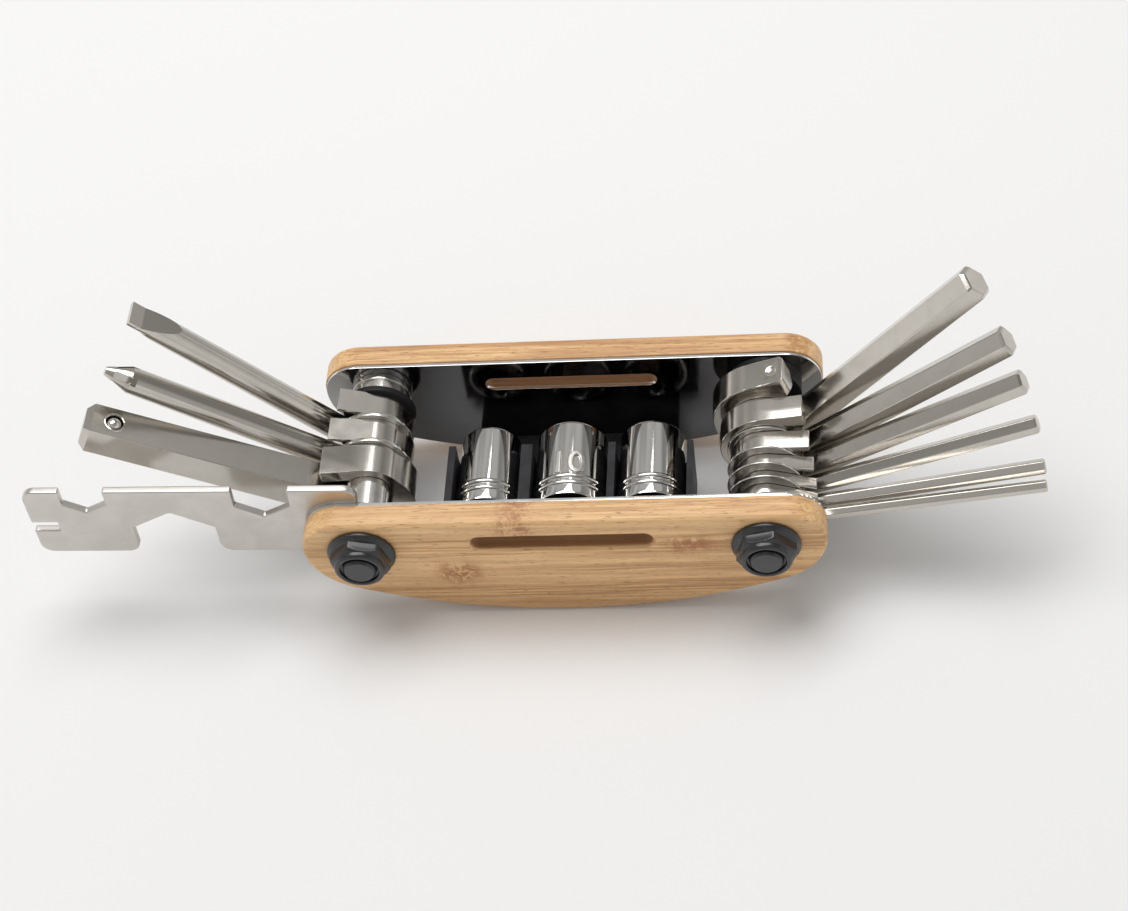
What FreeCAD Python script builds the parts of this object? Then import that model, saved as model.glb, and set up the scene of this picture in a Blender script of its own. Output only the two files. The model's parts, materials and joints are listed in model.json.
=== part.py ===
import FreeCAD, Part
import math
import os
import Sketcher

# Folding bicycle multi-tool. Millimetres, +Z up, front side plate towards -Y.
# The origin is the middle of the two strap slots, on the tool's centre plane.

Vector = FreeCAD.Vector
X_AXIS = Vector(1, 0, 0)
Y_AXIS = Vector(0, 1, 0)
Z_AXIS = Vector(0, 0, 1)

DIMENSIONS = [
    # handle
    ("body_length", 93.0, "length of a side plate"),
    ("gap", 31.6, "clear gap between the two liners"),
    ("liner_thick", 0.7, "thickness of a steel liner"),
    ("liner_inset", 0.25, "liner edge inside the bamboo edge"),
    ("scale_thick", 4.8, "thickness of a bamboo scale"),
    ("scale_round", 0.9, "rounding of a scale's outer edge"),
    ("edge_above_slot", 6.0, "straight edge above the slot's centre line"),
    ("belly_below_slot", 20.5, "lowest point of the belly below the slot"),
    ("belly_radius", 100.0, "radius of the belly arc"),
    ("top_corner", 7.0, "radius of the corners at the straight edge"),
    ("low_corner", 12.0, "radius of the corners at the belly"),
    ("slot_length", 32.0, "length of the strap slot over its round ends"),
    ("slot_width", 3.2, "width of the strap slot"),
    # pivots
    ("pivot_half", 35.8, "half the distance between the pivots"),
    ("pivot_drop", 1.4, "pivots below the slot's centre line"),
    ("bolt_radius", 3.0, "M6 bolt"),
    ("bolt_out", 4.6, "bolt end beyond the front scale"),
    ("bolt_bevel", 0.6, "bevel at the bolt's end"),
    ("head_radius", 4.9, "bolt head"),
    ("head_height", 1.4, "bolt head height"),
    ("head_bevel", 0.7, "bevel of the bolt head"),
    ("head_socket", 4.0, "hexagon socket in the bolt head"),
    ("head_socket_depth", 2.0, "depth of that hexagon socket"),
    ("flange_radius", 6.1, "nut flange"),
    ("flange_thick", 1.3, "nut flange thickness"),
    ("nut_flats", 9.6, "nut hexagon across flats"),
    ("nut_hex_top", 3.5, "nut hexagon, height over the scale"),
    ("collar_radius", 4.5, "nylon collar of the nut"),
    ("nut_height", 4.3, "whole height of the nut"),
    ("nut_bevel", 0.35, "bevel of the nut's round edges"),
    ("flange_slope", 1.2, "width of the flange's sloping rim"),
    ("sleeve_radius", 3.45, "pivot sleeve over the bolt"),
    ("run_gap", 0.05, "running clearance at the pivots"),
    ("front_clear", 0.3, "clearance between the flat wrench and the keys' lanes"),
    ("washer_radius", 6.8, "steel washers between the tools"),
    ("thin_washer", 0.4, "washer between two hexagon keys"),
    ("left_washer", 0.85, "washer between the drivers"),
    ("spacer_radius", 4.4, "small spacers"),
    ("mid_spacer", 1.4, "spacer beside the largest key"),
    ("spool_flange", 5.6, "flange of the rear spool"),
    ("spool_neck", 4.5, "neck of the rear spool"),
    ("spool_length", 4.0, "length of the rear spool"),
    ("spool_front_rim", 2.4, "front flange of the spool"),
    ("spool_rear_rim", 1.2, "rear flange of the spool"),
    ("dark_washer", 1.2, "plastic washer behind the drivers"),
    # hexagon keys, across flats and reach from the pivot
    ("key_reach", 48.5, "reach of a hexagon key"),
    ("eye_turn", 210.0, "turn of a hooked eye round its pivot, in degrees"),
    ("key_leg", 8.0, "free leg of a hooked eye past its bend"),
    ("big_leg", 7.0, "free leg of the largest key"),
    ("key_chamfer", 0.35, "chamfer of a key's tip"),
    ("forge_start", 60.0, "turn at which a hooked eye begins to be forged thinner, in degrees"),
    ("forge_end", 150.0, "turn from which it is fully thinned, in degrees"),
    ("bar_share", 0.4, "share of the square bar's height left in its leg"),
    ("driver_share", 0.45, "share of a round driver's height left in its leg"),
    # round drivers
    ("driver_dia", 5.0, "round bar of the drivers"),
    ("driver_reach", 50.5, "reach of the drivers"),
    ("blade_thick", 0.9, "thickness of the slotted tip"),
    ("blade_run", 11.0, "length over which the blade is flattened"),
    ("blade_flat", 2.5, "parallel part of the blade at its tip"),
    ("point_run", 4.6, "length of the cross tip's cone"),
    ("point_radius", 0.8, "radius of the cross tip's end"),
    ("flute_width", 1.5, "width of a cross tip flute"),
    ("flute_lean", 14.0, "lean of a cross tip flute, in degrees"),
    ("flute_start", 0.44, "floor of a flute above the driver's axis at its start"),
    # square extension bar
    ("drive_square", 6.3, "quarter inch drive square"),
    ("bar_reach", 52.0, "reach of the square bar"),
    ("tip_chamfer", 1.1, "chamfer at the square tip"),
    ("ball_radius", 1.5, "detent ball"),
    ("ball_rise", 0.5, "detent ball above the bar"),
    ("ball_travel", 0.4, "press travel of the detent ball"),
    ("ball_from_tip", 5.2, "ball centre from the bar's tip"),
    ("pocket_depth", 4.6, "depth of the ball's pocket"),
    ("spring_radius", 1.1, "spring under the ball"),
    ("spring_wire", 0.18, "radius of the spring's wire"),
    # flat wrench plate
    ("plate_thick", 1.5, "flat wrench plate"),
    ("plate_reach", 60.8, "reach of the flat wrench"),
    ("plate_top", 10.6, "straight edge above the pivot"),
    ("plate_low", 6.9, "lower edge below the pivot"),
    ("plate_end", 0.4, "upright end of the plate from the pivot"),
    ("ear_radius", 5.6, "round ear of the plate about the pivot"),
    ("plate_corner", 2.4, "radius of the plate's corners"),
    ("jaw_lip", 2.2, "radius where the large jaw meets the lower edge, tip side"),
    ("jaw_soft", 1.1, "radius in the large jaw's point"),
    ("jaw_big", 15.0, "large jaw across flats"),
    ("jaw_big_at", 34.85, "large jaw's centre from the pivot"),
    ("jaw_big_peak", 4.45, "large jaw's deepest point above the pivot line"),
    ("jaw_mid", 10.0, "middle jaw across flats"),
    ("jaw_mid_at", 17.7, "middle jaw's centre from the pivot"),
    ("jaw_small", 8.0, "small jaw across flats"),
    ("jaw_small_at", 49.9, "small jaw's centre from the pivot"),
    ("jaw_depth_mid", 7.4, "depth of the middle jaw"),
    ("jaw_depth_small", 5.85, "depth of the small jaw"),
    ("spoke_slot", 2.4, "spoke slot width"),
    ("spoke_above", 0.65, "spoke slot's middle above the pivot line"),
    ("spoke_depth", 4.8, "spoke slot depth"),
    # sockets and their holder
    ("socket_axis", 8.2, "socket axes below the slot's centre line"),
    ("socket_front", -9.0, "front ends of the sockets along Y"),
    ("socket_length", 17.0, "length of a socket"),
    ("socket_left", -15.2, "left socket along X"),
    ("socket_right", 14.9, "right socket along X"),
    ("socket_bevel", 0.5, "bevel of a socket's ends"),
    ("ridge_rise", 0.3, "height of a socket's ridges"),
    ("ridge_first", 2.2, "first ridge from a socket's front end"),
    ("ridge_second", 3.7, "second ridge from a socket's front end"),
    ("ridge_slope", 0.35, "sloping side of a ridge"),
    ("ridge_width", 1.0, "width of a ridge"),
    ("square_play", 0.1, "play of the drive square in a socket"),
    ("hex_depth", 9.0, "depth of a socket's hexagon"),
    ("square_depth", 7.0, "depth of a socket's square"),
    ("socket_fit", 0.2, "clearance of a socket in its channel"),
    ("holder_half", 22.6, "half the width of the holder"),
    ("holder_top", 4.2, "top of the holder's walls below the slot line"),
    ("holder_floor", 17.2, "underside of the holder below the slot line"),
    ("holder_front", -13.8, "front of the holder along Y"),
    ("holder_rear", 4.6, "rear of the holder's walls along Y"),
    ("stop_height", 9.4, "top of the front stop below the slot line"),
    ("stop_inset", 1.0, "ends of the front stop inside the outer walls"),
    ("foot_half", 19.0, "half the width of the holder's foot"),
    ("foot_thick", 1.8, "thickness of the holder's foot"),
    ("peg_radius", 0.8, "pegs that locate the holder in the liners"),
    ("peg_half", 14.0, "half the distance between the pegs"),
]

# Name, size across flats, tilt in degrees, and share of the height left in the forged leg.
HEX_KEYS = [
    ("2", 2.0, 9.6, 0.6),
    ("2_5", 2.5, 12.2, 0.45),
    ("3", 3.0, 21.8, 0.45),
    ("4", 4.0, 30.8, 0.5),
    ("5", 5.0, 38.1, 0.8),
    ("6", 6.0, 49.3, 0.87),
]
# Name, size across flats, outer radius, and the alias of the place along X.
SOCKETS = [
    ("8", 8.0, 5.6, "socket_left"),
    ("10", 10.0, 6.5, None),
    ("9", 9.0, 6.05, "socket_right"),
]
# Tilts of the left tools in degrees.
WRENCH_TILT = 1.7
BAR_TILT = 26.6
PHILLIPS_TILT = 35.5
SLOTTED_TILT = 46.9

doc = FreeCAD.newDocument("bicycle_multi_tool")


def make_sheet():
    dims = doc.addObject("Spreadsheet::Sheet", "Dims")
    for row, (alias, value, note) in enumerate(DIMENSIONS, start=1):
        dims.set(f"A{row}", note)
        dims.set(f"B{row}", str(value))
        dims.setAlias(f"B{row}", alias)
    doc.recompute()
    return dims


sheet = make_sheet()


def dim(alias):
    return float(sheet.get(alias))


PIVOT_Z = -dim("pivot_drop")
LINER_FACE = dim("gap") / 2
SCALE_FACE = LINER_FACE + dim("liner_thick")
OUTER_FACE = SCALE_FACE + dim("scale_thick")
EYE_INNER = dim("sleeve_radius") + dim("run_gap")


# ---------------------------------------------------------------- helpers

def new_body(label):
    body = doc.addObject("PartDesign::Body", label)
    body.Label = label
    return body


def origin_item(body, role):
    return next(item for item in body.Origin.OriginFeatures if item.Role == role)


def new_sketch(body, name, role, offset_rule=None):
    sketch = body.newObject("Sketcher::SketchObject", name)
    sketch.AttachmentSupport = [(origin_item(body, role), "")]
    sketch.MapMode = "FlatFace"
    if offset_rule:
        sketch.setExpression("AttachmentOffset.Base.z", offset_rule)
    return sketch


def fix(sketch, kind, *args, rule=None):
    index = sketch.addConstraint(Sketcher.Constraint(kind, *args))
    if rule:
        sketch.setExpression(f"Constraints[{index}]", rule)


def add_circle(sketch, x, y, radius, radius_rule, x_rule=None, y_rule=None):
    circle = sketch.addGeometry(Part.Circle(Vector(x, y, 0), Z_AXIS, radius))
    fix(sketch, "Radius", circle, radius, rule=radius_rule)
    for kind, value, rule in (("DistanceX", x, x_rule), ("DistanceY", y, y_rule)):
        if rule:
            fix(sketch, kind, -1, 1, circle, 3, value, rule=rule)
        else:
            fix(sketch, "PointOnObject", circle, 3, -2 if kind == "DistanceX" else -1)
    return circle


def add_hexagon(sketch, y, flats, flats_rule, y_rule=None):
    """A hexagon on the sketch's vertical axis, with a flat to its left and right."""
    radius = flats / math.sqrt(3)
    corners = []
    for step in range(6):
        turn = math.radians(30 + 60 * step)
        corners.append(Vector(radius * math.cos(turn), y + radius * math.sin(turn), 0))
    sides = []
    for step in range(6):
        side = Part.LineSegment(corners[step], corners[(step + 1) % 6])
        sides.append(sketch.addGeometry(side))
    ring = sketch.addGeometry(Part.Circle(Vector(0, y, 0), Z_AXIS, radius), True)
    for step in range(6):
        fix(sketch, "Coincident", sides[step], 2, sides[(step + 1) % 6], 1)
        fix(sketch, "PointOnObject", sides[step], 2, ring)
    for step in range(1, 6):
        fix(sketch, "Equal", sides[0], sides[step])
    fix(sketch, "Radius", ring, radius, rule=f"{flats_rule} / sqrt(3)")
    fix(sketch, "PointOnObject", ring, 3, -2)
    if y_rule:
        fix(sketch, "DistanceY", -1, 1, ring, 3, y, rule=y_rule)
    else:
        fix(sketch, "PointOnObject", ring, 3, -1)
    fix(sketch, "Vertical", sides[5])


def add_square(sketch, y, side, side_rule, y_rule=None):
    """A square centred on the sketch's vertical axis at height y."""
    half = side / 2
    marks = [(-half, y - half), (half, y - half), (half, y + half), (-half, y + half)]
    sides = add_outline(sketch, [Vector(u, v, 0) for u, v in marks])
    fix(sketch, "Horizontal", sides[0])
    fix(sketch, "Horizontal", sides[2])
    fix(sketch, "Vertical", sides[1])
    fix(sketch, "Vertical", sides[3])
    fix(sketch, "DistanceX", -1, 1, sides[0], 2, half, rule=f"{side_rule} / 2")
    fix(sketch, "DistanceX", sides[0], 1, sides[0], 2, side, rule=side_rule)
    fix(sketch, "DistanceY", sides[1], 1, sides[1], 2, side, rule=side_rule)
    low = y - half
    low_rule = f"{y_rule} - {side_rule} / 2" if y_rule else f"-{side_rule} / 2"
    fix(sketch, "DistanceY", -1, 1, sides[0], 1, low, rule=low_rule)


def add_outline(sketch, points):
    """Straight sides through the points, closed, each joined to the next."""
    count = len(points)
    sides = []
    for step in range(count):
        side = Part.LineSegment(points[step], points[(step + 1) % count])
        sides.append(sketch.addGeometry(side))
    for step in range(count):
        fix(sketch, "Coincident", sides[step], 2, sides[(step + 1) % count], 1)
    return sides


def pad(body, sketch, rule, symmetric=False, reverse=False):
    feature = body.newObject("PartDesign::Pad", "Pad")
    feature.Profile = sketch
    feature.setExpression("Length", rule)
    if symmetric:
        feature.SideType = "Symmetric"
    feature.Reversed = reverse
    doc.recompute()
    return feature


def pocket(body, sketch, rule, symmetric=False, reverse=False):
    """A cut that must take material away."""
    before = body.Shape.Volume
    feature = body.newObject("PartDesign::Pocket", "Pocket")
    feature.Profile = sketch
    feature.setExpression("Length", rule)
    if symmetric:
        feature.SideType = "Symmetric"
    feature.Reversed = reverse
    doc.recompute()
    if body.Shape.Volume > before - 1e-3:
        raise RuntimeError(f"{body.Label}: a pocket cuts nothing")
    return feature


def revolve(body, sketch, role, degrees=360):
    feature = body.newObject("PartDesign::Revolution", "Revolution")
    feature.Profile = sketch
    feature.ReferenceAxis = (origin_item(body, role), [""])
    feature.Angle = degrees
    doc.recompute()
    return feature


def edges_where(shape, test):
    return [f"Edge{number}" for number, edge in enumerate(shape.Edges, start=1) if test(edge)]


def chamfer(body, rule, test):
    base = body.Tip
    feature = body.newObject("PartDesign::Chamfer", "Chamfer")
    feature.Base = (base, edges_where(base.Shape, test))
    feature.setExpression("Size", rule)
    doc.recompute()
    return feature


def fillet(body, rule, test):
    base = body.Tip
    feature = body.newObject("PartDesign::Fillet", "Fillet")
    feature.Base = (base, edges_where(base.Shape, test))
    feature.setExpression("Radius", rule)
    doc.recompute()
    return feature


def lathe(label, steps):
    """A turned piece: steps are (radius, y) along the Y axis, closed on the axis."""
    body = new_body(label)
    sketch = new_sketch(body, "Section", "XY_Plane")
    points = [Vector(radius, y, 0) for radius, y in steps]
    add_outline(sketch, points)
    fix(sketch, "Block", 0)
    revolve(body, sketch, "Y_Axis")
    return body


def at_height(level):
    return lambda edge: all(abs(vertex.Z - level) < 1e-3 for vertex in edge.Vertexes)


def at_x(level):
    return lambda edge: all(abs(vertex.X - level) < 1e-3 for vertex in edge.Vertexes)


def at_y(level):
    return lambda edge: all(abs(vertex.Y - level) < 1e-3 for vertex in edge.Vertexes)


# ---------------------------------------------------------------- side plates

def plate_outline(sketch, inset):
    """The handle's outline: a straight edge, four round corners and a long belly arc."""
    half = dim("body_length") / 2 - inset
    top = dim("edge_above_slot") - inset
    belly = dim("belly_radius") - inset
    high = dim("top_corner") - inset
    low = dim("low_corner") - inset
    belly_centre = Vector(0, -dim("belly_below_slot") + dim("belly_radius"), 0)
    low_x = half - low
    low_y = belly_centre.y - math.sqrt((belly - low) ** 2 - low_x ** 2)
    tilt = math.atan2(low_x, belly_centre.y - low_y)

    def arc(centre, radius, start, end):
        circle = Part.Circle(centre, Z_AXIS, radius)
        return sketch.addGeometry(Part.ArcOfCircle(circle, start, end))

    right = math.pi * 1.5 + tilt
    left = math.pi * 1.5 - tilt
    top_line = sketch.addGeometry(Part.LineSegment(Vector(high - half, top, 0), Vector(half - high, top, 0)))
    right_top = arc(Vector(half - high, top - high, 0), high, 0, math.pi / 2)
    right_line = sketch.addGeometry(Part.LineSegment(Vector(half, top - high, 0), Vector(half, low_y, 0)))
    right_low = arc(Vector(low_x, low_y, 0), low, right, 2 * math.pi)
    belly_arc = arc(belly_centre, belly, left, right)
    left_low = arc(Vector(-low_x, low_y, 0), low, math.pi, left)
    left_line = sketch.addGeometry(Part.LineSegment(Vector(-half, low_y, 0), Vector(-half, top - high, 0)))
    left_top = arc(Vector(high - half, top - high, 0), high, math.pi / 2, math.pi)
    joins = [(top_line, 2, right_top, 2), (right_top, 1, right_line, 1), (right_line, 2, right_low, 2),
             (right_low, 1, belly_arc, 2), (belly_arc, 1, left_low, 2), (left_low, 1, left_line, 1),
             (left_line, 2, left_top, 2), (left_top, 1, top_line, 1)]
    for first, first_end, second, second_end in joins:
        fix(sketch, "Tangent", first, first_end, second, second_end)
    inset_rule = "" if inset == 0 else " - Dims.liner_inset"
    fix(sketch, "Horizontal", top_line)
    fix(sketch, "Vertical", right_line)
    fix(sketch, "Vertical", left_line)
    fix(sketch, "Equal", right_top, left_top)
    fix(sketch, "Equal", right_low, left_low)
    fix(sketch, "Radius", right_top, high, rule="Dims.top_corner" + inset_rule)
    fix(sketch, "Radius", right_low, low, rule="Dims.low_corner" + inset_rule)
    fix(sketch, "Radius", belly_arc, belly, rule="Dims.belly_radius" + inset_rule)
    fix(sketch, "PointOnObject", belly_arc, 3, -2)
    fix(sketch, "DistanceY", -1, 1, belly_arc, 3, belly_centre.y,
        rule="Dims.belly_radius - Dims.belly_below_slot")
    fix(sketch, "DistanceY", -1, 1, top_line, 1, top, rule="Dims.edge_above_slot" + inset_rule)
    fix(sketch, "DistanceX", -1, 1, right_line, 1, half, rule="Dims.body_length / 2" + inset_rule)
    fix(sketch, "DistanceX", left_line, 1, -1, 1, half, rule="Dims.body_length / 2" + inset_rule)


def slot_outline(sketch):
    radius = dim("slot_width") / 2
    reach = dim("slot_length") / 2 - radius
    turns = [(reach, -math.pi / 2, math.pi / 2), (-reach, math.pi / 2, 1.5 * math.pi)]
    ends = []
    for x, start, end in turns:
        circle = Part.Circle(Vector(x, 0, 0), Z_AXIS, radius)
        ends.append(sketch.addGeometry(Part.ArcOfCircle(circle, start, end)))
    high = sketch.addGeometry(Part.LineSegment(Vector(reach, radius, 0), Vector(-reach, radius, 0)))
    low = sketch.addGeometry(Part.LineSegment(Vector(-reach, -radius, 0), Vector(reach, -radius, 0)))
    fix(sketch, "Tangent", ends[0], 2, high, 1)
    fix(sketch, "Tangent", high, 2, ends[1], 1)
    fix(sketch, "Tangent", ends[1], 2, low, 1)
    fix(sketch, "Tangent", low, 2, ends[0], 1)
    fix(sketch, "PointOnObject", ends[0], 3, -1)
    fix(sketch, "PointOnObject", ends[1], 3, -1)
    fix(sketch, "Radius", ends[0], radius, rule="Dims.slot_width / 2")
    span_rule = "(Dims.slot_length - Dims.slot_width) / 2"
    fix(sketch, "DistanceX", -1, 1, ends[0], 3, reach, rule=span_rule)
    fix(sketch, "DistanceX", ends[1], 3, -1, 1, reach, rule=span_rule)


def pierced_plate(label, inset, thick_rule, peg_holes=False):
    """One plate of the handle, standing in the XZ plane with its thickness towards -Y."""
    body = new_body(label)
    sketch = new_sketch(body, "Outline", "XZ_Plane")
    plate_outline(sketch, inset)
    pad(body, sketch, thick_rule)
    slot = new_sketch(body, "Slot", "XZ_Plane")
    slot_outline(slot)
    pocket(body, slot, thick_rule, reverse=True)
    holes = new_sketch(body, "PivotHoles", "XZ_Plane")
    for side, rule in ((-1, "-Dims.pivot_half"), (1, "Dims.pivot_half")):
        add_circle(holes, side * dim("pivot_half"), PIVOT_Z, dim("bolt_radius"), "Dims.bolt_radius",
                   x_rule=rule, y_rule="-Dims.pivot_drop")
    pocket(body, holes, thick_rule, reverse=True)
    if peg_holes:
        pegs = new_sketch(body, "PegHoles", "XZ_Plane")
        for side, rule in ((-1, "-Dims.peg_half"), (1, "Dims.peg_half")):
            add_circle(pegs, side * dim("peg_half"), peg_height(), dim("peg_radius"), "Dims.peg_radius",
                       x_rule=rule, y_rule="-Dims.holder_floor + Dims.foot_thick / 2")
        pocket(body, pegs, thick_rule, reverse=True)
    return body


def peg_height():
    return -dim("holder_floor") + dim("foot_thick") / 2


def pivot_edge(edge):
    middle = edge.BoundBox.Center
    return abs(abs(middle.x) - dim("pivot_half")) < 1 and edge.Length < 25 and abs(middle.z - PIVOT_Z) < 1


def outer_edge(edge):
    return at_y(-dim("scale_thick"))(edge) and not pivot_edge(edge)


def side_plates():
    front_scale = pierced_plate("front_scale", 0, "Dims.scale_thick")
    fillet(front_scale, "Dims.scale_round", outer_edge)
    front_scale.Placement.Base = Vector(0, -SCALE_FACE, 0)
    rear_scale = pierced_plate("rear_scale", 0, "Dims.scale_thick")
    fillet(rear_scale, "Dims.scale_round", outer_edge)
    rear_scale.Placement = FreeCAD.Placement(Vector(0, SCALE_FACE, 0), FreeCAD.Rotation(Z_AXIS, 180))
    front_liner = pierced_plate("front_liner", dim("liner_inset"), "Dims.liner_thick", peg_holes=True)
    front_liner.Placement.Base = Vector(0, -LINER_FACE, 0)
    rear_liner = pierced_plate("rear_liner", dim("liner_inset"), "Dims.liner_thick", peg_holes=True)
    rear_liner.Placement = FreeCAD.Placement(Vector(0, LINER_FACE, 0), FreeCAD.Rotation(Z_AXIS, 180))
    return [front_scale, rear_scale, front_liner, rear_liner]


# ---------------------------------------------------------------- pivot hardware

def bolt(label):
    radius = dim("bolt_radius")
    head = dim("head_radius")
    end = -OUTER_FACE - dim("bolt_out")
    crown = OUTER_FACE + dim("head_height")
    bevel = dim("bolt_bevel")
    round_off = dim("head_bevel")
    body = lathe(label, [(0, end), (radius - bevel, end), (radius, end + bevel), (radius, OUTER_FACE),
                         (head, OUTER_FACE), (head, crown - round_off), (head - round_off, crown),
                         (0, crown)])
    socket = new_sketch(body, "KeySocket", "XZ_Plane", f"-{crown}")
    add_hexagon(socket, 0, dim("head_socket"), "Dims.head_socket")
    pocket(body, socket, "Dims.head_socket_depth", reverse=True)
    return body


def nut(label):
    """Flanged lock nut: round flange, hexagon and nylon collar, standing towards -Y."""
    flange = dim("flange_thick")
    bevel = dim("nut_bevel")
    crest = dim("flange_radius") - dim("flange_slope")
    body = lathe(label, [(dim("bolt_radius"), 0), (dim("flange_radius"), 0),
                         (dim("flange_radius"), -flange + bevel), (crest, -flange),
                         (dim("collar_radius"), -flange), (dim("collar_radius"), -dim("nut_height") + bevel),
                         (dim("collar_radius") - bevel, -dim("nut_height")),
                         (dim("bolt_radius"), -dim("nut_height"))])
    sketch = new_sketch(body, "Hexagon", "XZ_Plane")
    add_hexagon(sketch, 0, dim("nut_flats"), "Dims.nut_flats")
    add_circle(sketch, 0, 0, dim("bolt_radius"), "Dims.bolt_radius")
    pad(body, sketch, "Dims.nut_hex_top")
    body.Placement.Base = Vector(0, -OUTER_FACE, 0)
    return body


def ring(label, outer, inner, length, y_start):
    """A turned ring round the pivot, from y_start towards +Y."""
    body = lathe(label, [(inner, 0), (outer, 0), (outer, length), (inner, length)])
    body.Placement.Base = Vector(0, y_start, 0)
    return body


def washer_group(label, starts, thick, outer):
    """Washers of one size in one node, each a solid of its own."""
    sleeve = dim("sleeve_radius")
    washers = []
    for y_start in starts:
        disc = Part.makeCylinder(outer, thick, Vector(0, y_start, 0), Y_AXIS)
        hole = Part.makeCylinder(sleeve, thick, Vector(0, y_start, 0), Y_AXIS)
        washers.append(disc.cut(hole))
    group = doc.addObject("Part::Feature", label)
    group.Label = label
    group.Shape = Part.makeCompound(washers)
    return group


def spool(label, y_start, length):
    neck = dim("spool_neck")
    flange = dim("spool_flange")
    front = dim("spool_front_rim")
    rear = length - dim("spool_rear_rim")
    sleeve = dim("sleeve_radius")
    body = lathe(label, [(sleeve, 0), (flange, 0), (flange, front), (neck, front), (neck, rear),
                         (flange, rear), (flange, length), (sleeve, length)])
    body.Placement.Base = Vector(0, y_start, 0)
    return body


def to_pivot(piece, side):
    piece.Placement.Base = piece.Placement.Base + Vector(side * dim("pivot_half"), 0, PIVOT_Z)
    return piece


# ---------------------------------------------------------------- folding tools

def place_tool(piece, side, lane, tilt):
    """Turns a tool drawn along +X to its side of the handle, tip raised by tilt."""
    turn = FreeCAD.Rotation(Z_AXIS, 0 if side > 0 else 180)
    rise = FreeCAD.Rotation(Y_AXIS, -side * tilt)
    piece.Placement = FreeCAD.Placement(Vector(side * dim("pivot_half"), lane, PIVOT_Z), rise * turn)
    return piece


def hooked_bar(label, add_section, bend, bend_rule, reach_rule, leg_rule="Dims.key_leg"):
    """A bar along +X below the pivot, bent back over it into an eye with a free leg."""
    body = new_body(label)
    low = new_sketch(body, "Section", "YZ_Plane")
    add_section(low, -bend, f"-({bend_rule})")
    pad(body, low, reach_rule)
    revolve(body, low, "Y_Axis", dim("eye_turn"))
    high = new_sketch(body, "LegSection", "YZ_Plane")
    high.AttachmentOffset = FreeCAD.Placement(Vector(), FreeCAD.Rotation(X_AXIS, dim("eye_turn") - 180))
    add_section(high, bend, bend_rule)
    pad(body, high, leg_rule)
    return body


def forge_eye(body, height, share, leg_alias="key_leg"):
    """Thins the far side of a hooked eye and its leg from the outside."""
    full = EYE_INNER + height
    thin = EYE_INNER + height * share
    start = dim("forge_start")
    end = dim("forge_end")
    turns = [start + 10 * step for step in range(int((dim("eye_turn") - start) / 10) + 1)]
    along = Vector(math.cos(math.radians(30)), -math.sin(math.radians(30)), 0) * (dim(leg_alias) + 1)

    def at_turn(degrees, radius):
        turn = math.radians(degrees)
        return Vector(-radius * math.sin(turn), -radius * math.cos(turn), 0)

    inner = []
    for degrees in turns:
        done = min(1.0, (degrees - start) / (end - start))
        inner.append(at_turn(degrees, full + (thin - full) * done + 0.3 * (1 - done)))
    outer = [at_turn(degrees, full + 3) for degrees in turns[::3]]
    sketch = new_sketch(body, "Forging", "XZ_Plane")
    curve = Part.BSplineCurve()
    curve.interpolate(inner)
    sketch.addGeometry(curve)
    path = [inner[-1], inner[-1] + along, outer[-1] + along] + outer[::-1] + [inner[0]]
    for first, second in zip(path[:-1], path[1:]):
        sketch.addGeometry(Part.LineSegment(first, second))
    pocket(body, sketch, "Dims.gap", symmetric=True)


def hex_key(name, flats, lane, tilt, share):
    bend = EYE_INNER + flats / math.sqrt(3)
    bend_rule = f"Dims.sleeve_radius + Dims.run_gap + {flats} / sqrt(3)"

    def section(sketch, height, rule):
        add_hexagon(sketch, height, flats, str(flats), y_rule=rule)

    leg_alias = "big_leg" if name == "6" else "key_leg"
    body = hooked_bar(f"hex_key_{name}", section, bend, bend_rule, "Dims.key_reach", f"Dims.{leg_alias}")
    forge_eye(body, 2 * flats / math.sqrt(3), share, leg_alias)
    chamfer(body, "Dims.key_chamfer", at_x(dim("key_reach")))
    return place_tool(body, 1, lane, tilt)


def round_section(sketch, height, rule):
    add_circle(sketch, 0, height, dim("driver_dia") / 2, "Dims.driver_dia / 2", y_rule=rule)


def driver_bar(label):
    bend = EYE_INNER + dim("driver_dia") / 2
    rule = "Dims.sleeve_radius + Dims.run_gap + Dims.driver_dia / 2"
    body = hooked_bar(label, round_section, bend, rule, "Dims.driver_reach")
    forge_eye(body, dim("driver_dia"), dim("driver_share"))
    return body, bend


def slotted_driver(lane):
    body, bend = driver_bar("slotted_driver")
    tip = dim("driver_reach")
    radius = dim("driver_dia") / 2 + 0.5
    half = dim("blade_thick") / 2
    start = tip - dim("blade_run")
    wedge = new_sketch(body, "BladeCut", "XZ_Plane")
    flat = tip - dim("blade_flat")
    for side in (1, -1):
        outside = -bend + side * radius
        face = -bend + side * half
        add_outline(wedge, [Vector(start, outside, 0), Vector(flat, face, 0), Vector(tip + 1, face, 0),
                            Vector(tip + 1, outside, 0)])
    fix(wedge, "Block", 0)
    pocket(body, wedge, "3 * Dims.driver_dia", symmetric=True)
    return place_tool(body, -1, lane, SLOTTED_TILT)


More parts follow.
